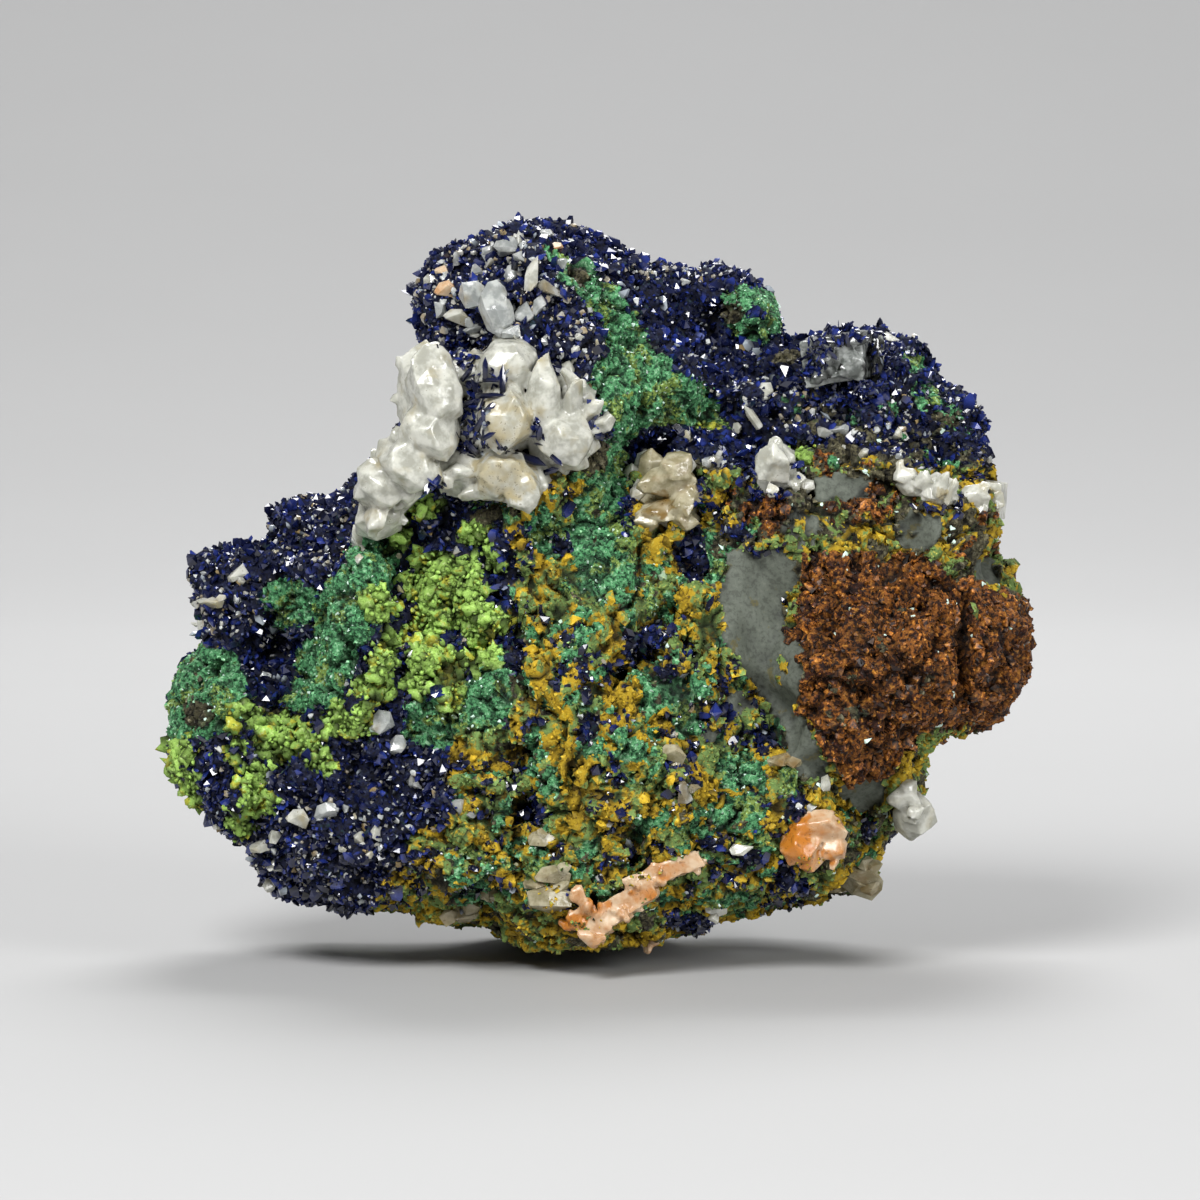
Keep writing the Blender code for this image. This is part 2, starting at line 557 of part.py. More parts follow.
def grain_form(grain, dice):
    """The crystal's form in a box of one unit."""
    bm = bmesh.new()
    if grain.shape in ("prism", "chunk"):
        bmesh.ops.create_uvsphere(bm, u_segments=6, v_segments=3, radius=0.5)
        bmesh.ops.scale(bm, vec=(HEXAGON, HEXAGON, 1.0), verts=bm.verts)
    elif grain.shape == "block":
        bmesh.ops.create_cube(bm, size=1.0)
        bmesh.ops.transform(bm, matrix=Matrix.Shear("XZ", 4, (SLANT, 0.0)), verts=bm.verts)
    else:
        bmesh.ops.create_icosphere(bm, subdivisions=1, radius=0.5)
    if grain.shape in ("chunk", "block"):
        for vert in bm.verts:
            vert.co *= 1.0 + dice.uniform(-JITTER, JITTER)
    if grain.shape == "chunk":
        tumble = axis_turn(dice.uniform(-TUMBLE, TUMBLE), dice.uniform(-TUMBLE, TUMBLE))
        bmesh.ops.transform(bm, matrix=tumble, verts=bm.verts)
    bmesh.ops.triangulate(bm, faces=bm.faces)
    return bm


def grain_mesh(grain, depth, grow, seed):
    """One crystal as a bmesh in place, with the skin under it at this depth, larger by grow on every side."""
    bm = grain_form(grain, random.Random(seed))
    size = [(side + 2 * grow) * MM for side in (grain.wide, grain.deep, grain.tall)]
    spot = Vector((grain.x, depth - grain.out, grain.z)) * MM
    place = Matrix.Translation(spot) @ axis_turn(grain.turn, grain.lean) @ Matrix.Diagonal((*size, 1.0))
    bmesh.ops.transform(bm, matrix=place, verts=bm.verts)
    return bm


def cluster_object(cluster, skin, grow, home):
    """The cluster's crystals joined in one solid, each between the skin's depth and the cluster's mean."""
    name = cluster.name if grow == 0 else cluster.name + "_socket"
    depths = [skin.front(grain.x, grain.z)[0].y for grain in cluster.grains]
    middle = sum(depths) / len(depths)
    whole = None
    for number, (grain, own) in enumerate(zip(cluster.grains, depths)):
        depth = middle + (own - middle) * FOLLOW_SKIN
        mesh = grain_mesh(grain, depth, grow, f"{cluster.name} {number}")
        piece = add_object(name, mesh_from(mesh, name), home)
        if whole is None:
            whole = piece
        else:
            combine(whole, piece, "UNION")
            bpy.data.objects.remove(piece)
    return whole


def inside(points, x, z):
    """Whether a point lies in an outline."""
    odd = False
    for (x0, z0), (x1, z1) in zip(points, points[1:] + points[:1]):
        if (z0 > z) != (z1 > z) and x < x0 + (z - z0) * (x1 - x0) / (z1 - z0):
            odd = not odd
    return odd


def add_blade(bm, hit, normal, dice):
    """Adds one large azurite crystal that stands at this place of the skin."""
    width, length = dice.uniform(*BLADE_WIDTH), dice.uniform(*BLADE_LENGTH)
    tilt = Vector((dice.uniform(-0.8, 0.8), dice.uniform(-0.3, 0.3), dice.uniform(-0.8, 0.8)))
    aim = (normal + tilt).normalized().to_track_quat("Z", "X").to_matrix().to_4x4()
    size = Matrix.Diagonal((width * 0.55 * MM, width * MM, length * 0.5 * MM, 1.0))
    place = Matrix.Translation(hit * MM) @ aim @ Matrix.Rotation(dice.uniform(0, 3), 4, "Z") @ size
    bmesh.ops.create_uvsphere(bm, u_segments=4, v_segments=2, radius=1.0, matrix=place)


def add_blades(bm, crust, skin, dice):
    """Adds the crust's large crystals, at random places of its outline that are on the rock."""
    xs = [x for x, _ in crust.outline]
    zs = [z for _, z in crust.outline]
    left = crust.blades
    while left:
        x, z = dice.uniform(min(xs), max(xs)), dice.uniform(min(zs), max(zs))
        if inside(crust.outline, x, z) and inside(OUTLINE, x, z):
            add_blade(bm, *skin.front(x, z), dice)
            left -= 1


def growth_field(skin, home):
    """Everything small that is joined to the rock: crystals, grapes and azurite blades."""
    mesh = bpy.data.meshes.new("growths")
    whole = bmesh.new()
    for number, grain in enumerate(GROWTHS):
        depth = skin.front(grain.x, grain.z)[0].y
        grain_mesh(grain, depth, 0.0, f"growth {number}").to_mesh(mesh)
        whole.from_mesh(mesh)
    dice = random.Random(7)
    for crust in CRUSTS:
        add_blades(whole, crust, skin, dice)
    return add_object("growths", mesh_from(whole, "growths"), home)


def crevice_object(crevice, skin, home):
    """A narrow pit's cutter."""
    bm = bmesh.new()
    hit, _ = skin.front(crevice.x, crevice.z)
    size = Matrix.Diagonal((crevice.across * MM, crevice.depth * MM, crevice.up * MM, 1.0))
    place = Matrix.Translation(hit * MM) @ axis_turn(-crevice.turn, 0.0) @ size
    bmesh.ops.create_icosphere(bm, subdivisions=1, radius=1.0, matrix=place)
    return add_object("crevice", mesh_from(bm, "crevice"), home)


def peel(rock, core, smaller_core, pieces, helpers):
    """Takes the crusts off the rock's skin side by side, with a seam around and behind each."""
    taken = None
    for number, crust in enumerate(CRUSTS):
        cutter = extruded("cutter", crust.outline, -FRONT_REACH, crust.back_y, helpers)
        combine(cutter, core, "DIFFERENCE")
        outline, front_y = widened(crust.outline, SEAM), -FRONT_REACH - number - 1
        wider = extruded("wider", outline, front_y, crust.back_y + SEAM, helpers)
        if taken:
            combine(cutter, taken, "DIFFERENCE")
            combine(taken, wider, "UNION")
        else:
            taken = wider
        piece = duplicate(rock, crust.name, pieces)
        combine(piece, cutter, "INTERSECT")
        keep_largest(piece)
        finish(piece, crust.mineral)
    combine(taken, smaller_core, "DIFFERENCE")
    combine(rock, taken, "DIFFERENCE")
    keep_largest(rock)
    finish(rock, "rock")


def finish(piece, mineral):
    """Cleans the piece's faces and gives it its own material."""
    tidy_faces(piece)
    piece.data.materials.clear()
    piece.data.materials.append(material(piece.name, mineral))


def settle(pieces):
    """Moves the origin to the ground under the middle of the whole specimen."""
    corners = np.concatenate([positions(piece.data) for piece in pieces])
    middle = (corners.min(axis=0) + corners.max(axis=0)) / 2
    for piece in pieces:
        piece.data.transform(Matrix.Translation((-middle[0] * MM, -middle[1] * MM, 0.0)))


def main():
    clear_scene()
    pieces = collection("azurite_specimen")
    helpers = collection("helpers")
    helpers.hide_render = True
    fine = sculpt_rock(helpers)
    core, smaller_core = sculpt_core(fine, helpers)
    rock = duplicate(fine, "matrix_rock", pieces)
    thin_out(rock, ROCK_TRIANGLES)
    cut_flat(rock)
    skin = Skin(rock)
    combine(rock, growth_field(skin, helpers), "UNION")
    for crevice in CREVICES:
        combine(rock, crevice_object(crevice, skin, helpers), "DIFFERENCE")
    for cluster in CLUSTERS:
        finish(cluster_object(cluster, skin, 0.0, pieces), cluster.mineral)
        combine(rock, cluster_object(cluster, skin, SEAM, helpers), "DIFFERENCE")
    peel(rock, core, smaller_core, pieces, helpers)
    settle(pieces.objects)
    for helper in helpers.objects:
        helper.hide_render = True
        helper.display_type = "WIRE"


main()
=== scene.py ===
"""The looks of an azurite specimen: fine crystals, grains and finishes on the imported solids.

The solids of the rock and of its crusts are joined into one finely meshed skin. Every point of it belongs to a
mineral, and each mineral grows there in its own way: glossy blue crystals, green granules, yellow-green grapes,
ochre lumps or rusty grains. The larger quartz and calcite crystals stand at places of their own.
Sizes are millimetres unless a name or a comment says otherwise, in the frame's axes.
"""

import json
import logging
import math
from collections.abc import Iterable, Sequence
from dataclasses import dataclass, field
from enum import Enum

import bmesh
import bpy
import numpy as np
from mathutils import Matrix, Vector, kdtree, noise
from mathutils.bvhtree import BVHTree

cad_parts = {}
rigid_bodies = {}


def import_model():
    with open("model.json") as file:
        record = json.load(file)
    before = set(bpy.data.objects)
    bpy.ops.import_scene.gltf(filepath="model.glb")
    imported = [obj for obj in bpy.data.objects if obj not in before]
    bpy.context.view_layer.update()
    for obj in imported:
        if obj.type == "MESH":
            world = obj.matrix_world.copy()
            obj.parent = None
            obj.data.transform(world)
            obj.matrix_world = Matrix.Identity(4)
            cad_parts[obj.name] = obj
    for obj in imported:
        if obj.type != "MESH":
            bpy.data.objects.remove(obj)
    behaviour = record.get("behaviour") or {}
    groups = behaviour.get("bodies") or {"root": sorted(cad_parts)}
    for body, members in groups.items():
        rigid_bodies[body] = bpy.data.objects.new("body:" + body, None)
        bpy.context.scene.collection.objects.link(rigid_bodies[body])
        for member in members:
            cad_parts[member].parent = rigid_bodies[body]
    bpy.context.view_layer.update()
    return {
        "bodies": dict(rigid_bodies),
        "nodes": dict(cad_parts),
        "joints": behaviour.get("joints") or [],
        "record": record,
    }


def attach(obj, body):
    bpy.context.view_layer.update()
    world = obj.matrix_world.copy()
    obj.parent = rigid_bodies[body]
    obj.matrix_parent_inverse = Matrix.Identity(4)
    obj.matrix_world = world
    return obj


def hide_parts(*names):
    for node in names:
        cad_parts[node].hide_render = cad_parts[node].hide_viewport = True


LOG = logging.getLogger("azurite_specimen")
MM = 0.001
# Points of a solid closer than this are one point, and nothing lies lower than LOWEST.
WELD = 0.002
LOWEST = 0.02
Colour = tuple[float, float, float]
Points = np.ndarray


class Mineral(Enum):
    """What a point of the rock's skin is made of."""

    ROCK = 0
    OCHRE = 1
    GREY = 2
    LIMONITE = 3
    MALACHITE = 4
    GRAPES = 5
    AZURITE = 6


ROCK, OCHRE, GREY, LIMONITE, MALACHITE, GRAPES, AZURITE = Mineral


# ---------------------------------------------------------------------------------------------- shaders


class Value:
    """A number socket that Python's operators work on. Each operation adds its Math node."""

    def __init__(self, surface: "Surface", socket: bpy.types.NodeSocket) -> None:
        """Wraps a socket of the surface's node tree."""
        self.surface = surface
        self.socket = socket

    def __add__(self, other: "Value | float") -> "Value":
        """Sum."""
        return self.surface.maths("ADD", self, other)

    def __sub__(self, other: "Value | float") -> "Value":
        """Difference."""
        return self.surface.maths("SUBTRACT", self, other)

    def __rsub__(self, other: float) -> "Value":
        """Difference from a number."""
        return self.surface.maths("SUBTRACT", other, self)

    def __mul__(self, other: "Value | float") -> "Value":
        """Product."""
        return self.surface.maths("MULTIPLY", self, other)

    def __pow__(self, other: float) -> "Value":
        """Power."""
        return self.surface.maths("POWER", self, other)

    __radd__ = __add__
    __rmul__ = __mul__

    def between(self, low: float, high: float) -> "Value":
        """0 up to low, 1 from high, and a smooth rise between."""
        settings = {"interpolation_type": "SMOOTHSTEP"}
        node = self.surface.node("ShaderNodeMapRange", settings, Value=self, From_Min=low, From_Max=high)
        return Value(self.surface, node.outputs["Result"])


class Surface:
    """A node material under construction."""

    def __init__(self, name: str) -> None:
        """Starts an empty material with this name."""
        self.material = bpy.data.materials.new(name)
        self.material.use_nodes = True
        self.tree = self.material.node_tree
        self.tree.nodes.clear()
        self.place = self.node("ShaderNodeTexCoord").outputs["Object"]
        self.clouds: dict[tuple[float, float, float], Value] = {}

    def node(self, kind: str, settings: dict | None = None, **sockets: object) -> bpy.types.Node:
        """Adds a node.

        Args:
            kind: the node's type.
            settings: its properties, which are set first.
            sockets: values or links of its inputs, with _ for a space in a socket's name.

        Returns:
            The node.
        """
        made = self.tree.nodes.new(kind)
        for key, setting in (settings or {}).items():
            setattr(made, key, setting)
        for key, value in sockets.items():
            self.connect(made.inputs[key.replace("_", " ")], value)
        return made

    def connect(self, socket: bpy.types.NodeSocket, value: object) -> None:
        """Links a socket to another one, or gives it a plain value."""
        if isinstance(value, Value):
            value = value.socket
        if isinstance(value, bpy.types.NodeSocket):
            self.tree.links.new(value, socket)
        elif isinstance(value, tuple) and len(value) == 3 and socket.type == "RGBA":
            socket.default_value = (*value, 1.0)
        else:
            socket.default_value = value

    def maths(self, operation: str, *values: "Value | float") -> Value:
        """One Math node on these values."""
        made = self.node("ShaderNodeMath", {"operation": operation})
        for socket, value in zip(made.inputs, values):
            self.connect(socket, value)
        return Value(self, made.outputs[0])

    def attribute(self, name: str) -> Value:
        """A number stored on the mesh."""
        return Value(self, self.node("ShaderNodeAttribute", {"attribute_name": name}).outputs["Fac"])

    def cloud(self, size: float, detail: float = 3.0, roughness: float = 0.6) -> Value:
        """Noise from 0 to 1 with features of about this size in millimetres."""
        key = (size, detail, roughness)
        if key not in self.clouds:
            made = self.node("ShaderNodeTexNoise", None, Vector=self.place, Scale=1 / (size * MM),
                             Detail=detail, Roughness=roughness)
            self.clouds[key] = Value(self, made.outputs[0])
        return self.clouds[key]

    def mix(self, factor: "Value | float", first: object, second: object) -> bpy.types.NodeSocket:
        """A blend of two colours."""
        made = self.node("ShaderNodeMix", {"data_type": "RGBA"})
        for index, value in ((0, factor), (6, first), (7, second)):
            self.connect(made.inputs[index], value)
        return made.outputs[2]

    def darken(self, colour: object, amount: "Value | float") -> bpy.types.NodeSocket:
        """The colour multiplied by a number."""
        made = self.node("ShaderNodeVectorMath", {"operation": "SCALE"})
        self.connect(made.inputs[0], colour)
        self.connect(made.inputs["Scale"], amount)
        return made.outputs[0]

    def bump(self, height: Value, depth: float, strength: float = 1.0) -> bpy.types.NodeSocket:
        """Small relief.

        Args:
            height: where it rises, from 0 to 1.
            depth: how high 1 stands, in millimetres.
            strength: share of the effect.

        Returns:
            The changed normal.
        """
        made = self.node("ShaderNodeBump", None, Height=height, Distance=depth * MM, Strength=strength)
        return made.outputs[0]

    def finish(self, **sockets: object) -> bpy.types.Material:
        """Ends the material in a Principled shader with these sockets."""
        shader = self.node("ShaderNodeBsdfPrincipled", None, **sockets)
        output = self.node("ShaderNodeOutputMaterial")
        self.tree.links.new(shader.outputs[0], output.inputs["Surface"])
        return self.material


@dataclass(frozen=True)
class Palette:
    """A mineral's colours: deep ones at the low points of the fine noise, partly its own dark tone and partly painted
    shade of small pits, light flecks, and patches of an accent over this share.

    dark and fleck are the heights of the fine noise at which deep ends and light begins. patch and grain are the
    sizes of the patches and of the fine noise.
    """

    deep: Colour
    main: Colour
    light: Colour
    accent: Colour
    share: float = 0.3
    patch: float = 1.6
    dark: float = 0.44
    fleck: float = 0.56
    grain: float = 0.5

    def over(self, surface: Surface) -> bpy.types.NodeSocket:
        """Its colour at each point."""
        fine, broad = surface.cloud(self.grain, 2.0, 0.7), surface.cloud(self.patch, 3.0, 0.7)
        edge = 0.5 + (0.5 - self.share) * 0.36
        main = surface.mix(broad.between(edge - 0.02, edge + 0.04), self.main, self.accent)
        # The deep colour, laid by the fine noise, is partly the mineral's own dark tone and partly painted shade of
        # small pits.
        colour = surface.mix(fine.between(self.dark - 0.08, self.dark + 0.08), self.deep, main)
        return surface.mix(fine.between(self.fleck, self.fleck + 0.14) * 0.8, colour, self.light)


# The pale mint of a few grains: partly small pale crystals, partly painted glints.
SPARK: Colour = (0.62, 0.80, 0.70)

PALETTES: dict[Mineral, Palette] = {
    ROCK: Palette((0.014, 0.012, 0.008), (0.095, 0.085, 0.045), (0.27, 0.25, 0.16), (0.08, 0.10, 0.045)),
    OCHRE: Palette((0.12, 0.068, 0.005), (0.50, 0.33, 0.017), (0.68, 0.55, 0.085), (0.17, 0.27, 0.075), 0.50, 3.0,
                   0.38, 0.58),
    GREY: Palette((0.072, 0.080, 0.064), (0.106, 0.119, 0.096), (0.134, 0.146, 0.118), (0.11, 0.10, 0.045), 0.16,
                  3.0),
    LIMONITE: Palette((0.016, 0.004, 0.002), (0.25, 0.085, 0.013), (0.62, 0.27, 0.040), (0.060, 0.016, 0.005), 0.36,
                      3.0, 0.46, 0.55),
    MALACHITE: Palette((0.010, 0.055, 0.022), (0.100, 0.340, 0.140), (0.42, 0.72, 0.44), (0.23, 0.33, 0.065), 0.34,
                       3.0, 0.46, 0.56),
    GRAPES: Palette((0.13, 0.20, 0.025), (0.32, 0.52, 0.11), (0.50, 0.64, 0.25), (0.42, 0.42, 0.045), 0.30, 3.0, 0.38,
                    0.56),
    AZURITE: Palette((0.002, 0.002, 0.008), (0.006, 0.009, 0.038), (0.05, 0.065, 0.12), (0.01, 0.03, 0.04), 0.2),
}


@dataclass(frozen=True)
class CrystalFinish:
    """Glossy crystals whose tint differs from one to the next, a few of them bright, with painted shade towards their
    feet and where they stand in crevices.
    """

    name: str
    dark: Colour
    bright: Colour
    pale: Colour
    roughness: float = 0.12
    refraction: float = 1.6
    bias: float = 2.0
    haze: float = 0.6

    def build(self) -> bpy.types.Material:
        """Makes the material."""
        surface = Surface(self.name)
        tint = surface.attribute("tint")
        veil = surface.cloud(1.6)
        colour = surface.mix(tint ** self.bias, self.dark, self.bright)
        colour = surface.darken(colour, veil * (2 * self.haze) + (1.0 - self.haze))
        colour = surface.mix(tint.between(0.955, 0.965), colour, self.pale)
        # Painted shade: darker towards each crystal's foot and where it stands in a crevice.
        colour = surface.darken(colour, surface.attribute("top").between(0.0, 0.7) * 0.85 + 0.15)
        rough = surface.cloud(0.5) * 0.2 + (self.roughness - 0.1)
        return surface.finish(Base_Color=colour, Roughness=rough, IOR=self.refraction)


@dataclass(frozen=True)
class GrainFinish:
    """Grains and lumps in their mineral's colours, with painted shade at their feet and in crevices, each a little
    lighter or darker. foot is how bright the painted shade leaves a foot, and a share of the grains, about sparks, is
    pale mint, partly as small pale crystals and partly as painted glints.
    """

    name: str
    mineral: Mineral
    roughness: float = 0.7
    relief: float = 0.10
    grain: float = 0.3
    sheen: float = 0.3
    foot: float = 0.08
    sparks: float = 0.0
    spread: float = 0.6

    def build(self) -> bpy.types.Material:
        """Makes the material."""
        surface = Surface(self.name)
        tint, top = surface.attribute("tint"), surface.attribute("top")
        fine = surface.cloud(self.grain, 2.0)
        shade = tint * self.spread + (1.0 - self.spread / 2)
        # Painted shade: darker towards each grain's foot and where it stands in a crevice.
        light = shade * (top.between(0.1, 0.75) * (1.0 - self.foot) + self.foot)
        colour = surface.darken(PALETTES[self.mineral].over(surface), light * (fine * 0.6 + 0.7))
        # A share of the grains, about sparks, is pale mint: partly small pale crystals, partly painted glints.
        colour = surface.mix(tint.between(0.995 - self.sparks, 1.0 - self.sparks), colour, SPARK)
        sockets = {"Normal": surface.bump(fine, self.relief)} if self.relief else {}
        rough = fine * 0.4 + (self.roughness - 0.2)
        return surface.finish(Base_Color=colour, Roughness=rough, Specular_IOR_Level=self.sheen, **sockets)


@dataclass(frozen=True)
class MilkyFinish:
    """Milky crystal that light enters a little way, cloudy inside and stained along its cracks."""

    name: str
    body: Colour
    cloudy: Colour
    stain: Colour
    roughness: float = 0.2
    depth: float = 1.2
    inside: float = 0.6
    clear: float = 0.0

    def build(self) -> bpy.types.Material:
        """Makes the material."""
        surface = Surface(self.name)
        tint = surface.attribute("tint")
        veil = surface.cloud(1.8, 3.0, 0.65)
        colour = surface.mix(veil.between(0.38, 0.62), self.body, self.cloudy)
        rust = surface.cloud(2.4, 2.0, 0.6) + tint * 0.34
        colour = surface.mix(rust.between(0.56, 0.92), colour, self.stain)
        specks = surface.cloud(0.45, 2.0, 0.7) + tint * 0.12
        colour = surface.mix(specks.between(0.68, 0.76) * 0.6, colour, tuple(part * 0.4 for part in self.stain))
        rough = veil * 0.3 + (self.roughness - 0.15)
        normal = surface.bump(surface.cloud(0.6), 0.07, 0.8)
        return surface.finish(
            Base_Color=colour, Roughness=rough, IOR=1.544, Normal=normal, Subsurface_Weight=self.inside,
            Subsurface_Radius=(self.depth * MM, self.depth * MM, self.depth * 0.9 * MM), Subsurface_Scale=1.0,
            Transmission_Weight=self.clear)


@dataclass(frozen=True)
class RockFinish:
    """The rock's skin: each mineral in its own colours, with painted shade in the crevices, and off the grey a painted
    shade all over for the gaps among the grains that stand on it. crevice is how bright the deepest crevice is left,
    and under how bright the skin off the grey is left.
    """

    name: str = "rock_skin"
    crevice: float = 0.08
    under: float = 0.78

    def build(self) -> bpy.types.Material:
        """Makes the material."""
        surface = Surface(self.name)
        colour = PALETTES[ROCK].over(surface)
        grain = surface.cloud(0.8, 4.0, 0.65)
        for mineral in list(Mineral)[1:]:
            own = PALETTES[mineral].over(surface)
            share = surface.attribute(mineral.name.lower()) + grain * 0.8 - 0.4
            colour = surface.mix(share.between(0.42, 0.58), colour, own)
        # Painted shade: darker in the crevices, and darker all over off the grey skin, where the grains stand on it.
        hollow = surface.attribute("cavity")
        shade_under_grains = surface.attribute("grey") * (1.0 - self.under) + self.under
        colour = surface.darken(colour, (1.0 - hollow * (1.0 - self.crevice)) * shade_under_grains)
        smooth = surface.attribute("grey")
        normal = surface.bump(grain * (1.0 - smooth * 0.85), 0.34)
        rough = 0.85 - smooth * 0.2
        return surface.finish(Base_Color=colour, Roughness=rough, Normal=normal, Specular_IOR_Level=0.3)


@dataclass(frozen=True)
class PlainFinish:
    """The backdrop's even finish, with the faintest of mottling."""

    name: str
    colour: Colour
    roughness: float = 0.7

    def build(self) -> bpy.types.Material:
        """Makes the material."""
        surface = Surface(self.name)
        colour = surface.darken(surface.mix(0.0, self.colour, self.colour), surface.cloud(80.0) * 0.03 + 0.985)
        return surface.finish(Base_Color=colour, Roughness=self.roughness)


# ------------------------------------------------------------------------------------------------- view


@dataclass(frozen=True)
class View:
    """The camera: far away with a long lens, a little above the specimen's middle."""

    frame_width: float = 123.4
    middle: tuple[float, float, float] = (0.0, 0.0, 36.7)
    elevation: float = 4.0
    lens: float = 180.0
    sensor: float = 36.0

    @property
    def distance(self) -> float:
        """From the camera to the specimen's middle plane."""
        return self.lens * self.frame_width / self.sensor

    @property
    def axes(self) -> tuple[Points, Points, Points]:
        """Right, up and back, seen from the camera."""
        tilt = math.radians(self.elevation)
        right = np.array([1.0, 0.0, 0.0])
        up = np.array([0.0, math.sin(tilt), math.cos(tilt)])
        return right, up, np.array([0.0, -math.cos(tilt), math.sin(tilt)])

    @property
    def eye(self) -> Points:
        """Where the camera stands."""
        return np.array(self.middle) + self.axes[2] * self.distance

    def build(self) -> None:
        """Sets up the camera."""
        data = bpy.data.cameras.new("camera")
        data.lens = self.lens
        data.sensor_width = self.sensor
        data.clip_end = 10.0
        camera = link("camera", data)
        camera.location = Vector(self.eye) * MM
        camera.rotation_euler = (math.radians(90.0 - self.elevation), 0.0, 0.0)
        bpy.context.scene.camera = camera

    def faced(self, normals: Points, gain: float, base: float, least: float = 0.0) -> Points:
        """How much these normals face the camera, from least to 1."""
        return np.clip(normals @ self.axes[2] * gain + base, least, 1.0)

    def ray(self, x: float, z: float) -> tuple[Points, Points]:
        """Start and direction of the sight line through a point of the middle plane."""
        right, up, _ = self.axes
        aim = np.array(self.middle) + right * (x - self.middle[0]) + up * (z - self.middle[2])
        line = aim - self.eye
        return self.eye, line / np.linalg.norm(line)

    def flatten(self, points: Points) -> tuple[Points, Points]:
        """Where points are seen on the middle plane, as x and z."""
        right, up, back = self.axes
        away = points - self.eye
        scale = self.distance / -(away @ back)
        return away @ right * scale + self.middle[0], away @ up * scale + self.middle[2]


# --------------------------------------------------------------------------------------------- minerals


def reach(oval: "Spot | Dent", x: Points, z: Points) -> tuple[Points, Points]:
    """How far these points lie along the oval's two axes, squared, with 1 at its edge."""
    turn = math.radians(oval.turn)
    u = (x - oval.x) * math.cos(turn) + (z - oval.z) * math.sin(turn)
    v = (z - oval.z) * math.cos(turn) - (x - oval.x) * math.sin(turn)
    return (2 * u / oval.across) ** 2, (2 * v / oval.up) ** 2


@dataclass(frozen=True)
class Spot:
    """An oval patch of one mineral, as the front shows it. share is how much of it the mineral covers."""

    mineral: Mineral
    x: float
    z: float
    across: float
    up: float
    turn: float = 0.0
    share: float = 1.0

    def covers(self, x: Points, z: Points) -> Points:
        """Which of these points lie in it."""
        u, v = reach(self, x, z)
        return u + v < 1.0


def spots(mineral: Mineral, *rows: tuple[float, ...]) -> tuple[Spot, ...]:
    """Ovals of one mineral, each row with the rest of a Spot's fields."""
    return tuple(Spot(mineral, *row) for row in rows)


@dataclass(frozen=True)
class Area:
    """A patch of one mineral with corners."""

    mineral: Mineral
    corners: tuple[tuple[float, float], ...]
    share: float = 1.0

    def covers(self, x: Points, z: Points) -> Points:
        """Which of these points lie in it."""
        odd = np.zeros(len(x), bool)
        for (x0, z0), (x1, z1) in zip(self.corners, self.corners[1:] + self.corners[:1]):
            if z0 != z1:
                odd ^= ((z0 > z) != (z1 > z)) & (x < x0 + (z - z0) * (x1 - x0) / (z1 - z0))
        return odd


# The front's outline, clockwise from the top.
OUTLINE: tuple[tuple[float, float], ...] = (
    (-7.5, 76.4), (-4, 76), (-1.5, 74.6), (1, 74.2), (3, 72.6), (5, 71.6), (8, 71.4), (11, 71.4), (14, 71),
    (16.5, 69.8), (18, 68.2), (19, 67), (18.2, 65.5), (18.2, 63.6), (19.8, 63.4), (22, 64), (24.5, 64.4),
    (27.5, 65.2), (29.5, 65), (31.5, 63.9), (34, 63), (34.8, 61.5), (34.8, 59.4), (37, 58.4), (39, 57), (40.2, 55.3),
    (40.3, 52), (40.5, 49.6), (41.8, 47.8), (41.4, 46), (42, 43.5), (42.5, 40.5), (43, 38.3), (44.6, 36), (45, 33),
    (45, 30.5), (43.8, 27.5), (42.6, 25), (41.5, 23.9), (38.5, 23.5), (36, 22.5), (34, 21), (33.8, 19), (33.4, 16.5),
    (33.3, 14.5), (32, 13.4), (30, 13), (29, 10.5), (29, 8.6), (27.5, 6.9), (25, 6.1), (23, 5.6), (20, 5), (16, 3.8),
    (12, 3), (10.5, 2), (8.5, 1.8), (6.5, 2), (5.5, 0.8), (2.5, 0.8), (0, 0.2), (-3, 0.9), (-5.5, 0.2), (-8.5, 0.2),
    (-10, 1.8), (-12.5, 3.2), (-15, 3), (-16.5, 2.7), (-18.5, 3), (-20.5, 4.2), (-24, 4.9), (-26.5, 4.6), (-30, 5.2),
    (-33, 6.2), (-34.8, 7), (-35.5, 9), (-37, 11.5), (-40, 13.5), (-42.3, 16), (-44, 18.5), (-45, 20), (-44.3, 22.5),
    (-45, 25), (-45, 27), (-43.8, 29), (-42, 31), (-41.5, 33), (-41.5, 36), (-42.5, 38), (-42.8, 40), (-41.5, 41.5),
    (-40.5, 42.2), (-37.5, 42.3), (-36.8, 40.8), (-35, 40.5), (-33.5, 41.3), (-33.4, 43), (-35, 44.8), (-33.5, 46.8),
    (-29, 47.3), (-26.5, 48.2), (-25.3, 50), (-22.5, 51.3), (-21.8, 53), (-21.5, 54.8), (-20.2, 56), (-19.8, 60),
    (-17, 63.6), (-18.8, 65.5), (-20.2, 67.7), (-18.8, 70), (-18.2, 71.8), (-16, 73.4), (-13, 74.2), (-10, 75.6))

# The corners of the olive and rusty band under the shoulder.
BAND = ((12, 42), (20, 43), (30, 44.5), (38, 45.5), (42, 47), (42, 42), (38, 40.5), (30, 51), (21, 51.5), (20, 48),
        (13, 48))

